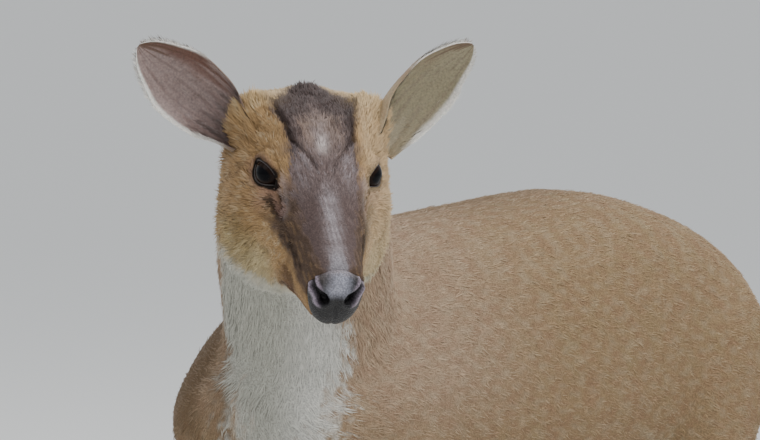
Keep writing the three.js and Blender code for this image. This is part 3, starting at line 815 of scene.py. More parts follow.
def mouth_layers(places, side, patchy):
    corner = np.linalg.norm((places - mirrored(MOUTH_CORNER, side)) * (1, 0.7, 1), axis=1)
    far, along = from_path(places, mouth_line(), side)
    return (
        (LIP_BROWN, 0.8 * (1 - ease(corner + 2 * patchy, 4, 13))),
        (PINK * 0.6, 0.5 * hump(far, 0, 5) * ease(along, 0.0, 0.25)),
        (DARK, 0.95 * hump(far, 0, 2.3)),
    )


def face_colours(points, places):
    x, y, z = places.T
    left = on_left(places)
    aside = left[:, 0]
    patchy = ripple(points, 9, 11)
    streaky = ripple(places * (1, 0.25, 0.7) * MM, 3.4, 12)
    flecks = ripple(places * (1, 0.5, 0.5) * MM, 2.2, 13)
    colours = painted(plain(GOLD, len(places)), *gold_layers(left, patchy, streaky, flecks))
    # dark sides of the nose and the dark brown band down the muzzle
    edge = np.interp(y, *GREY_EDGE) + 1.1 * streaky + 0.8 * patchy
    low_edge = np.interp(y, (16, 45, 70, 86), (-9, -5, 2, 10)) + 2 * patchy
    side_dark = ease(86 - y, 0, 12) * ease(aside - edge, -3, 1) * ease(z - low_edge, -5, 4)
    colours = painted(colours, (DARK_MAUVE, 0.92 * side_dark * (1 - 0.25 * ease(streaky, 0, 1))))
    for side in (1, -1):
        far, along = from_path(places, MUZZLE_BAND, side)
        wide = np.interp(along, (0, 0.25, 0.6, 1), (3.4, 5.6, 5.8, 4.6))
        band = 1 - ease(far + 0.7 * patchy + 0.6 * streaky, 0.45 * wide, wide)
        colours = painted(colours, (DEEP_UMBER, 0.94 * band))
    grey = ease(edge - aside, -1.6, 2.2) * ease(z, -4 + 0.1 * y, 3 + 0.12 * y)
    colours = painted(colours, *grey_layers(x, left, edge, grey, patchy, streaky, flecks))
    for side in (1, -1):
        colours = painted(colours, *eye_layers(places, side, patchy, streaky))
    # her left cheek paler with painted light where the light falls on it, paler ear roots, then the white
    # chin
    ear_root = hump(aside, 36, 12) * hump(y, 158, 13) * ease(z, 12, 30)
    under = ease(-27 - 0.16 * np.minimum(y, 90) - z + 2.5 * patchy + streaky, -5, 5) * ease(y, 4, 12)
    colours = painted(
        colours,
        # painted light over her left cheek
        (LIT_CHEEK_GOLD, 0.42 * ease(x, 22, 32) * ease(y, 24, 50) * (1 - grey)),
        (EAR_GOLD, 0.6 * ear_root),
        (WHITE, 0.9 * under * (1 - ease(aside, 34, 46))),
        (DULL_WHITE, 0.7 * under * ease(aside, 8, 20)),
    )
    for side in (1, -1):
        colours = painted(colours, *mouth_layers(places, side, patchy))
    return colours


# The white of the throat runs from under the jaw round to the middle of the breast: height, the
# place in the neck that it is measured round, the middle of the white and half its spread in degrees
THROAT_ROWS = [
    [0.2, -0.038, -0.08, 4, 10],
    [0.25, -0.038, -0.09, 9, 11],
    [0.3, -0.037, -0.10, 15, 14],
    [0.325, -0.032, -0.128, 17, 20],
    [0.35, -0.026, -0.155, 17, 35],
    [0.375, -0.018, -0.175, 10, 47],
    [0.43, 0.005, -0.212, 10, 34],
]


def throat_row(z):
    heights, *columns = np.transpose(THROAT_ROWS)
    return [np.interp(z, heights, column) for column in columns]


def throat_share(points, patchy):
    z = points[:, 2]
    x, y, middle, half = throat_row(z)
    around = np.degrees(np.arctan2(points[:, 0] - x, y - points[:, 1])) - middle
    ends = ease(z, 0.2, 0.235) * (1 - ease(z + 0.004 * patchy, 0.435, 0.46))
    return ease(half + 5 * patchy - np.abs(around), -6, 8) * ends


# Speckled fawn, with a dark spine, pale belly, brown legs, red-brown and white tail, white throat,
# and painted shade: a darker neck and shoulder on her right, and the jaw's shadow on the throat
def body_colours(points, normals, shares):
    x, y, z = points.T
    x = x - trunk_middle
    _, neck, trunk, legs, tail = shares.T
    patchy = ripple(points, 34, 21)
    fine = ripple(points, 9, 22)
    clumped = ripple(points * (1, 0.5, 1), 7, 23)
    spine = hump(x, 0, 0.035) * ease(normals[:, 2], 0.5, 0.95) * trunk
    belly = ease(-normals[:, 2] + 0.08 * fine, 0.55, 0.9) * (trunk + 0.6 * neck)
    front_half = np.maximum(neck, ease(-y, -0.04, 0.13) * (1 - legs) * ease(z, 0.26, 0.34))
    leg = ease(0.26 - z, 0, 0.08) * np.clip(legs + 0.4 * trunk * (z < 0.24), 0, 1)
    leg_front = 0.25 + 0.55 * ease(-normals[:, 1], -0.2, 0.7)
    leg_inside = ease(-x * normals[:, 0] * 30, 0.2, 0.9) * ease(z, 0.1, 0.17)
    seat = hump(x, 0, 0.03) * ease(y, 0.29, 0.315) * (z < 0.36) * trunk
    throat = throat_share(points, fine) * (1 - legs)
    # the brown edge of the throat's white on her right, and her right neck and shoulder, which get painted
    # shade
    beside = hump(throat_share(points, 0.5 + fine), 0.5, 0.5) * (z > 0.26) * (x < 0)
    shoulder = ease(0.02 * patchy - y, 0.0, 0.18) * ease(z + 0.02 * patchy, 0.2, 0.34)
    shaded_side = ease(-0.01 - x, 0, 0.03) * np.maximum(neck, shoulder) * (1 - legs)
    return painted(
        plain(RUSSET, len(points)),
        (FAWN, 0.55 + 0.12 * patchy + 0.08 * fine),
        (SABLE, 0.45 * spine),
        (CREAM, 0.85 * belly * ease(y, -0.2, -0.05)),
        (FRONT_FAWN, 0.5 * front_half),
        (CLUMP_BROWN, 0.26 * ease(clumped, 0, 1) * (1 - legs)),
        (CLUMP_FAWN, 0.22 * ease(-clumped, 0, 1) * (1 - legs)),
        (LEG_BROWN, 0.8 * leg),
        (SABLE, leg * leg_front * (1 - ease(z, 0.05, 0.2))),
        (CREAM, 0.55 * leg_inside * leg),
        (TAIL_RED, 0.8 * tail * ease(normals[:, 1], -0.2, 0.3)),
        (WHITE, 0.95 * tail * ease(-normals[:, 1], -0.1, 0.3)),
        (WHITE, 0.85 * seat * (z > 0.2)),
        # painted shade darkens her right neck and shoulder and the brown edge of the white throat on that
        # side
        (SHADE_BROWN, 0.8 * np.maximum(beside, shaded_side)),
        (WHITE, 0.96 * throat),
        # painted shadow of the jaw over the top of the white throat
        (JAW_SHADOW, 0.2 * throat * ease(z - 0.35 * (x + trunk_middle + 0.02), 0.35, 0.372)),
    )


def markings_and_painted_light(points, normals, shares):
    places = in_head(points)
    x, y, z = places.T
    head = shares[:, HEAD] * (1 - ease(y, 158, 176) * ease(-z, -20, 20))
    throat = throat_share(points, ripple(points, 9, 22)) * ease(y, 60, 100)
    return painted(
        body_colours(points, normals, shares),
        (face_colours(points, places), head),
        (WHITE, 0.9 * throat * ease(-z, 34, 50)),
        # painted shadow of the jaw on the throat, stronger on her right
        (JAW_SHADOW, 0.42 * throat * ease(-z, 34, 50) * ease(-z, 36, 50) * (1 - ease(x, -14, 20))),
    )


hide_colours = markings_and_painted_light(hide_points, hide_normals, hide_shares)


def mark(mesh, colours):
    layer = mesh.color_attributes.new("markings_and_painted_light", "FLOAT_COLOR", "POINT")
    layer.data.foreach_set("color", np.c_[colours, np.ones(len(colours))].astype(np.float32).ravel())


# A material built up call by call. A socket goes by its name, and is set to a value or linked.
class Finish:
    def __init__(self, name, **sockets):
        self.material = bpy.data.materials.new(name)
        self.material.use_nodes = True
        self.tree = self.material.node_tree
        self.shader = self.tree.nodes["Principled BSDF"]
        self.put(self.shader, **sockets)

    def put(self, node, **sockets):
        for title, value in sockets.items():
            socket = next(s for s in node.inputs if title in (s.identifier, s.name.replace(" ", "_")))
            if isinstance(value, bpy.types.NodeSocket):
                self.tree.links.new(value, socket)
            else:
                socket.default_value = value
        return node

    def add(self, kind, **sockets):
        return self.put(self.tree.nodes.new(kind), **sockets)

    def here(self):
        return self.add("ShaderNodeTexCoord").outputs["Object"]

    def noise(self, scale, detail=3.0, vector=None):
        vector = vector or self.here()
        return self.add("ShaderNodeTexNoise", Scale=scale, Detail=detail, Vector=vector).outputs["Fac"]

    def cells(self, scale):
        return self.add("ShaderNodeTexVoronoi", Scale=scale, Vector=self.here()).outputs["Distance"]

    def span(self, value, low, high, to_low, to_high):
        ends = {"From_Min": low, "From_Max": high, "To_Min": to_low, "To_Max": to_high}
        return self.add("ShaderNodeMapRange", Value=value, **ends).outputs["Result"]

    def mixed(self, share, first, second, blend="MIX"):
        node = self.add("ShaderNodeMix", Factor_Float=share, A_Color=first, B_Color=second)
        node.data_type = "RGBA"
        node.blend_type = blend
        return next(s for s in node.outputs if s.identifier == "Result_Color")

    # The painted markings, with painted light and shade among them, shaded by a value
    def marked(self, value=None):
        node = self.add("ShaderNodeAttribute")
        node.attribute_name = "markings_and_painted_light"
        colour = node.outputs["Color"]
        if value:
            colour = self.mixed(1.0, colour, value, "MULTIPLY")
        self.put(self.shader, Base_Color=colour)

    # Two plain colours, from the first to the second as the value goes from 0 to 1
    def blotched(self, value, first, second):
        self.put(self.shader, Base_Color=self.mixed(value, (*first, 1), (*second, 1)))

    def bumped(self, height, distance, strength=1.0):
        node = self.add("ShaderNodeBump", Height=height, Distance=distance, Strength=strength)
        self.put(self.shader, Normal=node.outputs["Normal"])


def finished(piece, finish, replaced=()):
    piece.data.materials.append(finish.material)
    piece.data.polygons.foreach_set("use_smooth", np.ones(len(piece.data.polygons), bool))
    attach(piece, "root")
    if replaced:
        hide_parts(*replaced)


hide_finish = Finish("hide", Roughness=0.8, Specular_IOR_Level=0.1)
strands = hide_finish.noise(900, 4)
hide_finish.marked(hide_finish.span(strands, 0.3, 0.7, 0.5, 0.95))
hide_finish.bumped(strands, 0.0006)
mark(hide.data, hide_colours)
FLESH_NODES = ["head", "neck", "shoulders", "barrel", "haunches", "tail"]
finished(hide, hide_finish, FLESH_NODES + leg_nodes)

# Eyes
# Two dark balls, wet and clear in front, with a brown iris and a long level pupil. Each sits deep
# under the brow, and the black edges of the lids close on it.

SIDES = {"left": 1, "right": -1}
IRIS_RADIUS = 8.6
CORNEA_RISE = 1.1
PUPIL_HALF = (6.4, 3.9)
BALL_BLACK = srgb(30, 22, 20)
IRIS_BROWN = srgb(34, 21, 14)
PUPIL_BLACK = srgb(6, 6, 9)


def eye_ball(name, side, rings=48, sides=64):
    centre, axes = eye_frame(side)
    polar = np.linspace(0.004, np.pi - 0.004, rings)
    around = full_turn(sides)
    cornea = CORNEA_RISE * np.clip(1 - (np.sin(polar) * EYE_RADIUS / (IRIS_RADIUS + 1)) ** 2, 0, 1) ** 1.2
    radius = EYE_RADIUS - 0.25 + np.where(polar < np.pi / 2, cornea, 0)
    out, forward = (radius * np.sin(polar))[:, None], (radius * np.cos(polar))[:, None]
    own = np.stack([out * np.cos(around), out * np.sin(around), forward * np.ones(sides)], -1)
    points, faces = loft(own if side < 0 else own[:, ::-1])
    ball = new_piece(f"eye_ball_{name}", from_head(points @ axes + centre), faces)
    across, up, ahead = points.T
    iris = ease(IRIS_RADIUS + 0.8 - np.hypot(across, up), 0, 1.6) * (ahead > 0)
    turn = np.arctan2(up, across)
    rays = 0.5 + 0.5 * np.sin(turn * 37 + 2 * np.sin(turn * 11))
    pupil = ease(1.25 - np.hypot(across / PUPIL_HALF[0], up / PUPIL_HALF[1]), 0, 0.35) * (ahead > 0)
    layers = ((IRIS_BROWN, iris * (0.5 + 0.4 * rays)), (PUPIL_BLACK, pupil))
    mark(ball.data, painted(plain(BALL_BLACK, len(points)), *layers))
    finished(ball, eye_finish, [f"eye_{name}"])


eye_finish = Finish("wet_eye", Roughness=0.06, Coat_Weight=0.02, Coat_Roughness=0.02, Specular_IOR_Level=0.06)
eye_finish.marked(eye_finish.span(eye_finish.noise(1500), 0.3, 0.7, 0.8, 1.1))
for name, side in SIDES.items():
    eye_ball(name, side)


# A round cord along points, of a radius for each point, with two ends or closed in a hoop
def cord(path, radius, sides=8, hoop=False):
    along = unit(np.roll(path, -1, 0) - np.roll(path, 1, 0) if hoop else np.gradient(path, axis=0))
    side = unit(np.cross(along, (0.3, 0.2, 1.0)))
    up = np.cross(along, side)
    turn = full_turn(sides)[:, None]
    ring = np.cos(turn) * side[:, None] + np.sin(turn) * up[:, None]
    rings = path[:, None] + radius[:, None, None] * ring
    if not hoop:
        return loft(rings)
    count = len(path) * sides
    faces = [tuple(i % count for i in face) for face in grid_faces(len(path) + 1, sides)]
    return rings.reshape(-1, 3), faces


def lid_edge(side):
    centre, axes = eye_frame(side)
    edge = almond(20) * 0.99
    rise = ball_rise(EYE_RADIUS + 0.35, np.hypot(edge[:, 0], edge[:, 1]))
    return cord(np.c_[edge, rise] @ axes + centre, 0.75 + 0.3 * ease(edge[:, 1], 0, 5), hoop=True)


lid_finish = Finish("wet_lid", Roughness=0.35)
lid_finish.blotched(lid_finish.noise(700), srgb(22, 17, 16), srgb(56, 42, 38))
lid_finish.bumped(lid_finish.noise(1600), 0.0002)
for name, side in SIDES.items():
    points, faces = lid_edge(side)
    finished(new_piece(f"lid_edge_{name}", from_head(points), faces), lid_finish)

# Nose pad
# Bare wet leather, dark grey and cobbled, that wraps the front of the muzzle between two comma
# nostrils with paler rims. It is one shell set over the turned-in hide, with its edge sunk in.

PAD_RINGS = 84
PAD_SIDES = 168
PAD_MIDDLE = (0, 0, -3.5)
PAD_BLACK = srgb(20, 18, 19)
# Painted reflection of the sky on the wet top of the pad
PAD_REFLECTION = srgb(178, 178, 192)
PAD_BROWN = srgb(70, 58, 48)
PAD_EDGE = srgb(128, 116, 116)
NOSTRIL_RIM = srgb(168, 152, 168)
# Painted shade inside the nostril openings
NOSTRIL_SHADOW = srgb(14, 11, 12)

# The comma of a nostril, seen from in front, and half its width along the way
NOSTRIL_PATH = [(8.6, 0, -4.6), (9.6, 0, -2.2), (12.4, 0, 0.6), (15.2, 0, 3.6), (16.2, 0, 7.4)]
NOSTRIL_HALF = [3.3, 3.1, 1.9, 1.3, 0.7]


def pad_places():
    around = full_turn(PAD_SIDES)
    edge_back = pad_edge(around)
    level = head_section(edge_back)[2]
    rim = onto_face(np.stack([8 * np.cos(around), edge_back, level + 8 * np.sin(around)], -1))
    share = np.linspace(0.012, 1, PAD_RINGS)[:, None]
    flat = np.array(PAD_MIDDLE) + share[..., None] * (rim * (1, 0, 1) - PAD_MIDDLE)[None]
    flat[..., 1] = edge_back * (1 - (1 - share**3.0 * 0.985) ** 0.5)
    places = flat.reshape(-1, 3)
    return np.concatenate([places, places[:PAD_SIDES].mean(0)[None]])


# How far outside the nostril a place lies, and how far along it
def nostril_reach(places, side):
    far, along = from_path(places * (1, 0, 1), NOSTRIL_PATH, side)
    half = np.interp(along, np.linspace(0, 1, len(NOSTRIL_HALF)), NOSTRIL_HALF)
    return far - half, along


def nose_pad():
    places = pad_places()
    tip = len(places) - 1
    faces = grid_faces(PAD_RINGS, PAD_SIDES) + [((k + 1) % PAD_SIDES, k, tip) for k in range(PAD_SIDES)]
    pad = new_piece("nose_pad", from_head(places), [face[::-1] for face in faces])
    outward = points_of(pad.data, "normal") @ head_axes
    x, _, z = places.T
    far_out = np.r_[np.repeat(np.linspace(0, 1, PAD_RINGS), PAD_SIDES), 0]
    ragged = ease(far_out + 0.06 * ripple(places, 3.5, 12), 0.82, 0.97)
    colours = painted(
        plain(PAD_BLACK, len(places)),
        # painted sky reflection over the top centre of the pad
        (PAD_REFLECTION, 0.85 * ease(z, -5, 4) * ease(12 - np.abs(x), 0, 10)),
        (PAD_BROWN, 0.5 * hump(x, -8, 6) * hump(z, 10, 6)),
    )
    push = 0.55 * hump(z, 9, 9) * hump(x, 0, 9) - 0.7 * hump(x, 0, 1.1) * ease(-z, 4, 12)
    for side in (1, -1):
        reach, along = nostril_reach(places, side)
        push += 0.9 * hump(reach, 1.9, 1.5) - (5.5 - 3.5 * along) * ease(-reach, -0.9, 0.9)
        colours = painted(
            colours,
            (NOSTRIL_RIM, 0.8 * hump(reach, 1.9, 1.3) * ease(np.abs(x), 8, 13)),
            # painted shade fills the nostril openings
            (NOSTRIL_SHADOW, ease(-reach, -0.4, 1.0)),
        )
    push -= 1.5 * ease(far_out, 0.93, 1.0)
    facing(pad.data, from_head(places + outward * push[:, None]))
    mark(pad.data, painted(colours, (PAD_EDGE, 0.8 * ragged * ease(z, 2, 9) * hump(x, 0, 12))))
    return pad


pad_finish = Finish("nose_leather", Coat_Weight=0.1, Coat_Roughness=0.15, Specular_IOR_Level=0.3)
cobbles = pad_finish.cells(850)
pad_finish.marked(pad_finish.span(cobbles, 0.0, 0.8, 1.2, 0.55))
pad_finish.put(pad_finish.shader, Roughness=pad_finish.span(cobbles, 0.1, 0.7, 0.24, 0.5))
pad_finish.bumped(pad_finish.span(cobbles, 0.0, 0.7, 1.0, 0.0), 0.0005, 0.8)
finished(nose_pad(), pad_finish, ["nose"])

# Ears
# Thin leaves of gristle rolled into a cup at the root, bare and pinkish grey inside with long
# veins, red-brown near the tip, and brown-haired behind. Their roots sink into the head.

EAR_LENGTH = 90
EAR_WIDTH = 62
EAR_THICKNESS = 2.2
EAR_RIM = 1.0
EAR_ROOT = (41, 151, 21)
EAR_STEPS = 72
EAR_ACROSS = 60

# Share of the length, width as a share of the ear's width, and half the angle that the cup wraps
EAR_ROWS = [
    [0.0, 0.86, 2.19],
    [0.12, 0.91, 1.95],
    [0.28, 0.97, 1.45],
    [0.45, 0.99, 1.27],
    [0.62, 0.9, 1.05],
    [0.78, 0.64, 0.85],
    [0.9, 0.41, 0.7],
    [0.97, 0.2, 0.6],
    [1.0, 0.06, 0.5],
]

# The way each ear points and opens, its own colours, and how strong its veins, blotches and band are
EARS = {
    "left": {
        "ways": ((0.72, 0.33, 0.61), (0.45, -0.88, 0.19)),
        "colours": (srgb(150, 140, 112), srgb(168, 156, 132), srgb(184, 164, 132)),
        "strengths": (0.25, 0.15, 0.28),
    },
    "right": {
        "ways": ((-0.79, 0.39, 0.475), (-0.3, -0.8, 0.51)),
        # the dark root colour of her right ear is painted shade in the hollow of its cup
        "colours": (srgb(152, 132, 126), srgb(62, 48, 44), srgb(104, 82, 60)),
        "strengths": (0.5, 0.35, 0.8),
    },
}
VEIN_BROWN = srgb(112, 90, 84)
BLOTCH_BROWN = srgb(96, 72, 66)
BAND_RED = srgb(96, 56, 38)
TIP_BROWN = srgb(92, 66, 46)
BACK_BROWN = srgb(140, 112, 82)
BACK_DARK = srgb(100, 78, 58)
RIM_WHITE = srgb(232, 228, 220)


# One face of the leaf: shift is 1 on the back and -1 in the cup.
def ear_sheet(side, shift):
    t = np.linspace(0, 1, EAR_STEPS)[:, None]
    u = np.linspace(-1, 1, EAR_ACROSS)[None, :]
    rows = table_row(EAR_ROWS, np.linspace(0, len(EAR_ROWS) - 1, EAR_STEPS))
    along, width, wrap = (rows[:, c][:, None] for c in range(3))
    radius = width * EAR_WIDTH / 2 / wrap
    thick = (EAR_RIM + (EAR_THICKNESS - EAR_RIM) * (1 - u * u)) * (1 - 0.35 * along)
    veins = 0.5 * np.sin(5.5 * np.pi * u + 1.2 * np.sin(6 * t)) * (1 - u**4) * (1 - along) if shift < 0 else 0
    reach = radius + shift * thick / 2 - veins
    bow = 11 * np.sin(np.pi * along) - 4 * along
    x = reach * np.sin(u * wrap) - side * 1.8 * along**3
    return np.stack([x, along * EAR_LENGTH + 0 * u, radius - reach * np.cos(u * wrap) - bow], -1)


def ear_piece(name, side):
    along, opening = (np.array(way) for way in EARS[name]["ways"])
    up = along / np.linalg.norm(along)
    out = opening - up * (up @ opening)
    out /= np.linalg.norm(out)
    axes = np.stack([np.cross(up, out), up, out])
    count = EAR_STEPS * EAR_ACROSS
    sheet = grid_faces(EAR_STEPS, EAR_ACROSS, closed=False)
    faces = [face[::-1] for face in sheet] + [tuple(i + count for i in face) for face in sheet]
    grid = np.arange(count).reshape(EAR_STEPS, EAR_ACROSS)
    edge = np.concatenate([grid[0], grid[1:, -1], grid[-1, -2::-1], grid[-2:0:-1, 0]]).tolist()
    faces += [(a, b, b + count, a + count) for a, b in zip(edge, edge[1:] + edge[:1])]
    own = np.concatenate([ear_sheet(side, shift).reshape(-1, 3) for shift in (1, -1)])
    points = from_head(own @ axes + mirrored(EAR_ROOT, side))
    return new_piece(f"ear_leaf_{name}", points, faces), axes


# Where each point lies along the leaf and across it, and whether it is in the cup
t = np.tile(np.repeat(np.linspace(0, 1, EAR_STEPS), EAR_ACROSS), 2)
u = np.tile(np.linspace(-1, 1, EAR_ACROSS), 2 * EAR_STEPS)
inside = np.arange(len(t)) >= len(t) // 2


def ear_colours(points, name):
    cup_colour, root_colour_and_shade, back_colour = EARS[name]["colours"]
    veins, blotches, band_strength = EARS[name]["strengths"]
    high = u * np.sign(points[u > 0.9, 2].mean() - points[u < -0.9, 2].mean())
    patchy = ripple(points, 16, 31)
    streaky = ripple(np.c_[u * 0.03, t * 0.016, 0 * t], 4.5, 32)
    band = ease(high + 0.15 * patchy, 0.1, 0.6) * ease(t + 0.1 * streaky, 0.25, 0.5)
    cup = painted(
        plain(cup_colour, len(t)),
        (VEIN_BROWN, veins * ease(streaky, 0.1, 1.0)),
        (BLOTCH_BROWN, blotches * ease(ripple(points, 5, 33), 0.5, 1.4)),
        (BAND_RED, band_strength * band),
        (TIP_BROWN, 0.75 * ease(t + 0.25 * ease(high, -0.2, 0.5) + 0.08 * streaky, 0.86, 1.02)),
        # the root colour: pale on her left ear, and painted shade in the cup's hollow on her right
        (root_colour_and_shade, 0.75 * (1 - ease(t + 0.05 * streaky, 0.1, 0.3))),
    )
    back = painted(
        plain(BACK_BROWN, len(t)),
        (BACK_DARK, ease(t + 0.1 * patchy, 0.45, 0.9)),
        (back_colour, 0.8 * (1 - ease(t, 0.2, 0.5))),
    )
    rim = ease(np.abs(u) + 0.12 * ease(t, 0.82, 1) - 0.08 * ease(high, -0.5, 0.5), 0.8, 0.92)
    rim = np.where(inside, rim, ease(np.abs(u), 0.76, 0.9))
    start = np.where(high > 0, 0.4, 0.05)
    rim = rim * ease(t, start, start + 0.16)
    return painted(np.where(inside[:, None], cup, back), (RIM_WHITE, 0.95 * rim)), rim


# How far red, green and blue light spreads in the thin leaf, in metres
EAR_GLOW = (0.004, 0.0015, 0.001)

ear_finish = Finish("ear_skin", Roughness=0.6, Subsurface_Weight=0.12, Subsurface_Radius=EAR_GLOW)
down = ear_finish.noise(700, 4)
ear_finish.marked(ear_finish.span(down, 0.3, 0.7, 0.7, 1.1))
ear_finish.bumped(down, 0.0003)
ears = {}
for name, side in SIDES.items():
    leaf, axes = ear_piece(name, side)
    colours, rim = ear_colours(points_of(leaf.data), name)
    mark(leaf.data, colours)
    finished(leaf, ear_finish, [f"ear_{name}"])
    ears[name] = (leaf, axes, colours, rim)

# Hooves and dew claws
# Black-brown horn: two pointed claws on each foot with a flat sole and growth rings, and two small
# cones behind the fetlock.

SOLE_BEVEL = 0.0008
GROWTH_RING = 0.012


def claw(node, sides=40):
    low, high = corners_of(node)
    long = high[1] - low[1]
    forward, across = np.cos(full_turn(sides)), np.sin(full_turn(sides))
    pinch = np.where(forward > 0, 1 - 0.45 * forward**3, 1)
    rings = []
    for h in np.linspace(0, 1, 22):
        bevel = SOLE_BEVEL * (h < 0.03)
        length = long * (0.612 - 0.19 * h) - bevel
        ridge = 1 + GROWTH_RING * math.sin(34 * h)
        half = (high[0] - low[0]) / 2 - bevel - 0.0004 * h
        x = (low[0] + high[0]) / 2 + half * pinch * across * ridge
        heel = low[1] + long * 0.6 + 0.0045 * h - 0.0005
        y = heel - forward * length * np.where(forward > 0, 0.97, 0.6) * ridge
        rings.append(np.stack([x, y, np.full(sides, low[2] + h * (high[2] - low[2]))], -1))
    return loft(rings)


def dew_claw(node):
    low, high = corners_of(node)
    inner = -1 if ("inner" in node) == ("left" in node) else 1
    middle = (low[0] + high[0]) / 2
    root = np.array((middle - 0.0003 * inner, low[1] + 0.003, high[2] + 0.002))
    tip = np.array((middle + 0.001 * inner, high[1] - 0.0012, low[2] + 0.0012))
    t = np.linspace(0, 1, 14)
    radius = 0.0042 * np.sqrt(1 - (t * 0.98) ** 3) * (1 + 0.02 * np.sin(30 * t))
    return cord(root + (tip - root) * t[:, None], radius, 20)


horn_finish = Finish("horn", Roughness=0.42)
layered = horn_finish.add("ShaderNodeMapping", Vector=horn_finish.here(), Scale=(0.4, 0.4, 5))
rings_of_growth = horn_finish.noise(220, 3, layered.outputs["Vector"])
horn_finish.blotched(rings_of_growth, srgb(34, 29, 27), srgb(74, 62, 54))
horn_finish.bumped(rings_of_growth, 0.0004, 0.5)
for leg in LEG_NAMES:
    for place in ("inner", "outer"):
        for node, short, shape in (("hoof", "claw", claw), ("dewclaw", "dew", dew_claw)):
            points, faces = shape(f"{leg}_{node}_{place}")
            horn = new_piece(f"{leg}_{short}_{place}", points, faces)
            finished(horn, horn_finish, [f"{leg}_{node}_{place}"])

# Coat
# Short speckled hair over the whole body, in thin overlapping tufts that lie from the nose to the
# tail and down the legs. It is shortest on the muzzle and feet and stands off most on the cheeks.
# Each tuft is a closed bent spike with its root sunk in the hide.

COAT_TUFTS = 215000

# At six faces to a tuft, this keeps each piece of coat under 200,000 faces
MOST_TUFTS = 32500

# How far along a tuft its thickest part lies
THICKEST_AT = 0.42
ROOT_DEPTH = 0.0006

# No hair grows on the feet below this height, where they are horn
HORN_TOP = 0.0205
CHEEK_START = (20, 50, 30)
NECK_BASE = (-0.034, -0.150, 0.355)
LIE_OF_PART = {
    NECK: NECK_BASE - from_head([(0, 150, -16)])[0],
    TRUNK: np.array((0, 1, -0.3)),
    LEG: np.array((0, 0.12, -1)),
    TAIL: np.array((0, 0.1, -1)),
}

# Length, width, lift and thickness of the coat on the head, neck, trunk, legs and tail; on the head
# the face adds its own
LONG = (0, 11, 8.5, 5.5, 24)
WIDE = (0, 0.75, 0.75, 0.75, 1.0)
LIFT = (0, 0.09, 0.07, 0.1, 0.12)
THICK = (0, 0.42, 0.3, 0.35, 0.7)


# Which way the hair lies on the head: back over the brow, and out and down over the cheeks.
def face_lie(places):
    x, y, z = places.T
    spread = ease(np.abs(x), 8, 34)
    out = (x - np.sign(x) * CHEEK_START[0]) * spread
    back = np.maximum(y - CHEEK_START[1], 30)
    return unit(np.stack([out, back, (z - CHEEK_START[2]) * spread], -1)) @ head_axes.T


# Lays the hair of each part its own way and evens the ways out over the hide.
def coat_lie():
    ways = hide_shares[:, [HEAD]] * face_lie(in_head(hide_points))
    for part, way in LIE_OF_PART.items():
        ways = ways + hide_shares[:, [part]] * unit(way)
    for _ in range(20):
        ways = ways - hide_normals * (ways * hide_normals).sum(1, keepdims=True)
        ways = unit(0.4 * ways + 0.6 * neighbour_mean(unit(ways), hide_edges))
    return ways


# Length and width of the tufts in millimetres, their lift in radians, and how thick they grow
def coat_form():
    places = in_head(hide_points)
    x, y, z = places.T
    aside = np.abs(x)
    height = hide_points[:, 2]
    head, neck, _, legs, _ = hide_shares.T
    cheek = ease(aside, 22, 42) * ease(y, 62, 100) * (1 - ease(z, 30, 52))
    full = np.maximum(cheek, ease(-z, 12, 34) * ease(y, 50, 85))
    crown = hump(x, 0, 12) * hump(y, 168, 14) * (z > 20)
    ear_root = hump(aside, 38, 10) * hump(y, 155, 14) * (z > -6)
    throat = throat_share(hide_points, 0 * x) * neck
    face_long = 2.6 + 3.4 * ease(y, 22, 100) + 5 * full + 3 * crown + 5 * ear_root
    long = hide_shares @ np.array(LONG) + head * face_long + 2 * throat
    wide = hide_shares @ np.array(WIDE) + head * (0.5 + 0.2 * ease(y, 30, 110)) - 0.15 * throat
    lift = hide_shares @ np.array(LIFT) + head * (0.15 + 0.16 * full + 0.2 * crown + 0.15 * ear_root)
    thick = hide_shares @ np.array(THICK) + head * (1.9 - 0.6 * ease(y, 60, 120))
    around = np.arctan2(z - head_section(y)[2], x)
    bare = (y < pad_edge(around) + 0.7) & (head > 0.5) | (height < HORN_TOP)
    for side in (1, -1):
        own = in_eye(places, side)
        share = np.where(own[:, 2] > 0, almond_share(own), 9)
        bare |= (share < 1.13 + 0.17 * ease(-own[:, 0], 3, 9)) & (head > 0.3)
        bare |= from_path(places, GLAND_SLIT, side)[0] < 1.6
        long = long * (0.4 + 0.6 * ease(share, 1.2, 1.9))
    thick[bare] = 0
    long = long * (1 - 0.45 * hump(height, 0, 0.12) * legs)
    return np.stack([long, wide, lift, thick], -1)


# Where the legs stand: on her left and right, and behind and in front
LEG_ASIDE = (0.052, -0.054)
LEG_BACK = (0.29, -0.12)


# Where each point lies on an unwrap of the hide: round its part across, and along its part up
def hide_unwrap(points, shares):
    part = shares.argmax(1)
    places = in_head(points)
    level = head_section(places[:, 1])[2]
    x, y, z = points.T
    aside = x - trunk_middle
    neck_x, neck_y = throat_row(z)[:2]
    round_part = {
        HEAD: (np.arctan2(places[:, 0], places[:, 2] - level), places[:, 1] / 200),
        NECK: (np.arctan2(x - neck_x, neck_y + 0.03 - y), (z - 0.25) / 0.3),
        TRUNK: (np.arctan2(aside, z - 0.33), (y + 0.24) / 0.6),
        TAIL: (np.arctan2(aside, y - 0.338), (z - 0.2) / 0.2),
    }
    leg = 2 * (aside > 0) + (y > 0.1)
    leg_x = np.where(aside > 0, *LEG_ASIDE)
    leg_y = np.where(y > 0.1, *LEG_BACK)
    across = 0.25 * leg + 0.02 + 0.21 * (np.arctan2(aside - leg_x, leg_y - y) / (2 * np.pi) + 0.5)
    up = z / 0.35
    for kind, (turn, share) in round_part.items():
        across = np.where(part == kind, 0.02 + 0.96 * (turn / (2 * np.pi) + 0.5), across)
        up = np.where(part == kind, share, up)
    return np.c_[across, 0.02 + 0.95 * np.clip(up, 0, 1)]


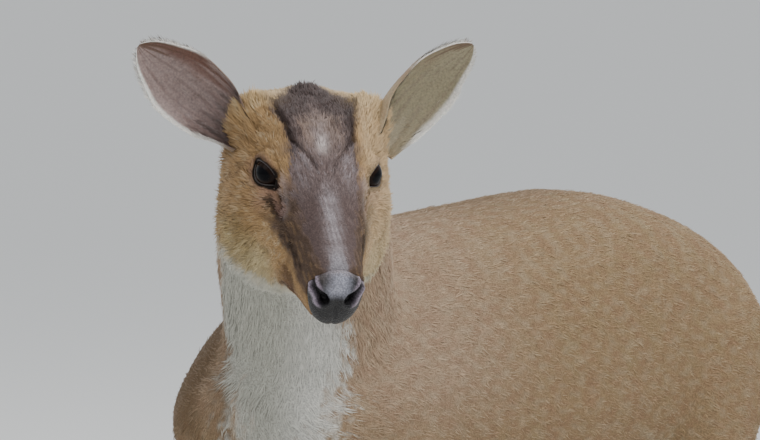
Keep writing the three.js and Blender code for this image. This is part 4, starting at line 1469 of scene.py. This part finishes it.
# Roots scattered over a surface, each with the values of the surface where it stands
def scatter(mesh, values, thick, count, seed):
    draw = np.random.default_rng(seed)
    mesh.calc_loop_triangles()
    corners = values_of(mesh.loop_triangles, "vertices", 3, np.int32)
    points = points_of(mesh)[corners]
    area = np.linalg.norm(np.cross(points[:, 1] - points[:, 0], points[:, 2] - points[:, 0]), axis=1)
    weight = area * thick[corners].min(1)
    chosen = np.sort(draw.choice(len(corners), count, p=weight / weight.sum()))
    share = draw.dirichlet((1, 1, 1), count)[:, :, None]
    return {name: (value[corners[chosen]] * share).sum(1) for name, value in values.items()}, draw


# One mesh of tufts. Each is a closed bent spindle: a root, three points round its middle and a tip.
RING = np.array(((-0.5, 0.0), (0.5, 0.0), (0.0, 0.34)))
TUFT_FACES = np.array([(0, 1, 2), (0, 2, 3), (0, 3, 1), (4, 2, 1), (4, 3, 2), (4, 1, 3)])
TUFT_PATCH = 0.003 * np.array(((0, 0), (-0.4, 0.4), (0.4, 0.4), (0, 0.5), (0, 1)))


def tuft_mesh(name, roots, draw, agouti):
    count = len(roots["at"])
    normal, way = unit(roots["normal"]), unit(roots["way"])
    across = unit(np.cross(way, normal))
    long, wide, lift = (roots["form"][:, [c]] for c in (0, 1, 2))
    sway = 0.22 * ripple(roots["at"], 11, 41)[:, None] + 0.13 * draw.normal(size=(count, 1))
    way = unit(way + sway * across)
    across = unit(np.cross(way, normal))
    clump = ripple(roots["at"], 7, 42)[:, None]
    long = MM * long * (1 + 0.13 * clump) * draw.uniform(0.7, 1.15, (count, 1))
    wide = MM * wide * draw.uniform(0.7, 1.25, (count, 1))
    lift = lift * (1 + 0.3 * clump) + 0.045 * draw.normal(size=(count, 1))
    base = roots["at"] - ROOT_DEPTH * normal
    middle = base + THICKEST_AT * long * (way * np.cos(1.5 * lift) + normal * np.sin(1.5 * lift))
    bend = 0.4 * lift + 0.06 * draw.normal(size=(count, 1))
    tip = middle + (1 - THICKEST_AT) * long * (way * np.cos(bend) + normal * np.sin(bend))
    tip = tip + 0.06 * long * across * draw.normal(size=(count, 1))
    points = np.stack([base] + [middle + wide * (out * across + up * normal) for out, up in RING] + [tip], 1)
    aside = 0.5 * across
    shine = unit(np.stack([normal, normal - aside, normal + aside, normal, normal + 0.3 * way], 1))
    colours = tuft_colours(roots["colour"], roots["at"], draw, agouti)
    return spiky_mesh(name, points, shine, colours, roots["unwrap"])


# A root a little darker than its place on the hide and a paler tip, or here and there a dark one
def tuft_colours(colour, at, draw, agouti):
    count = len(colour)
    soft = ease(colour.mean(1, keepdims=True), 0.2, 0.5)
    calm = 1 - 0.6 * soft
    single = (0.03 + 0.08 * agouti) * draw.normal(size=(count, 1))
    clumped = 0.07 * ripple(at, 8, 43)[:, None]
    tone = np.clip(1 + calm * (single + clumped), 0.6, 1.45) * colour
    dark_tip = agouti * (1 - soft) * (draw.random((count, 1)) < 0.22)
    contrast = (0.35 + 0.65 * agouti) * calm
    root, tip = (1 - 0.2 * contrast) * tone, (1 + 0.14 * contrast) * tone * (1 - 0.5 * dark_tip)
    return np.clip(np.stack([root, tone, tone, tone, tip], 1), 0.004, 0.92)


def spiky_mesh(name, points, shine, colours, unwrap):
    count, corners = points.shape[:2]
    mesh = bpy.data.meshes.new(name)
    faces = (TUFT_FACES[None] + corners * np.arange(count)[:, None, None]).reshape(-1, 3).astype(np.int32)
    mesh.vertices.add(count * corners)
    mesh.vertices.foreach_set("co", points.astype(np.float32).ravel())
    mesh.loops.add(faces.size)
    mesh.loops.foreach_set("vertex_index", faces.ravel())
    mesh.polygons.add(len(faces))
    mesh.polygons.foreach_set("loop_start", np.arange(0, faces.size, 3, dtype=np.int32))
    mark(mesh, colours.reshape(-1, 3))
    spots = (unwrap[:, None] + TUFT_PATCH[None]).reshape(-1, 2)
    layer = mesh.uv_layers.new(name="OFBake")
    layer.data.foreach_set("uv", spots[faces.ravel()].astype(np.float32).ravel())
    mesh.update(calc_edges=True)
    mesh.validate()
    soft = mesh.attributes.new("custom_normal", "FLOAT_VECTOR", "POINT")
    soft.data.foreach_set("vector", shine.astype(np.float32).ravel())
    return mesh


fur_finish = Finish("hair", Roughness=0.62, Specular_IOR_Level=0.12, Sheen_Weight=0.04, Sheen_Roughness=0.5)
fur_finish.marked()


def take(roots, chosen):
    return {name: value[chosen] for name, value in roots.items()}


def grow(name, roots, draw, agouti):
    count = len(roots["at"])
    pieces = math.ceil(count / MOST_TUFTS)
    for i in range(pieces):
        chosen = slice(i * count // pieces, (i + 1) * count // pieces)
        mesh = tuft_mesh(f"{name}_{i + 1}", take(roots, chosen), draw, agouti)
        finished(linked(mesh.name, mesh), fur_finish)


form = coat_form()
hide_values = {
    "at": hide_points,
    "normal": hide_normals,
    "way": coat_lie(),
    "colour": hide_colours,
    "form": form[:, :3],
    "shares": hide_shares,
}
roots, draw = scatter(hide.data, hide_values, form[:, 3], COAT_TUFTS, 7)
roots["unwrap"] = hide_unwrap(roots["at"], roots["shares"])
part_of_root = roots["shares"].argmax(1)
for part, name, slot, agouti in (
    (HEAD, "coat_head", "face_coat", 1.0),
    (NECK, "coat_neck", "body_coat", 0.25),
    (TRUNK, "coat_trunk", "body_coat", 0.25),
    (LEG, "coat_legs", "leg_coat", 1.0),
    (TAIL, "coat_tail", "body_coat", 1.0),
):
    grow(name, take(roots, part_of_root == part), draw, agouti)

# Hair of the ears
# Fine pale hairs in the cup that run from the root to the tip, thicker and whiter toward the rim,
# and a short close brown coat on the back.

EAR_TUFTS = 9000
EAR_HAIR = srgb(206, 198, 188)


def ear_hair(name, side):
    leaf, axes, colours, rim = ears[name]
    across, up, _ = axes @ head_axes.T
    aside = np.abs(u)
    edge = ease(aside, 0.88, 1.0)
    long = np.where(inside, 5.5 + 2 * ease(aside, 0.5, 0.8), 4.5)
    long = long * (1 - 0.55 * edge) * (1 - 0.65 * ease(t, 0.65, 1))
    thick = np.where(inside, 0.3 + 0.8 * ease(aside, 0.6, 0.95), 0.8) + 1.6 * edge
    thick = thick * ((t > 0.04) & (t < 0.95) & (inside | (aside < 0.88)))
    pale = (np.where(inside, 0.3, 0.1) + 0.3 * edge) * ease(t, 0.25, 0.45)
    values = {
        "at": points_of(leaf.data),
        "normal": points_of(leaf.data, "normal"),
        "way": up + 0.12 * across * np.sign(u)[:, None],
        "colour": painted(colours, (EAR_HAIR, pale), (RIM_WHITE, 0.9 * rim)),
        "form": np.c_[long, np.where(inside, 0.4, 0.6), np.full(len(t), 0.06)],
        "unwrap": np.c_[0.04 + 0.42 * (u + 1) / 2 + np.where(inside, 0.5, 0), 0.02 + 0.95 * t],
    }
    roots, draw = scatter(leaf.data, values, thick, EAR_TUFTS, 8 + side)
    grow(f"coat_ear_{name}", roots, draw, 0.3)


for name, side in SIDES.items():
    ear_hair(name, side)
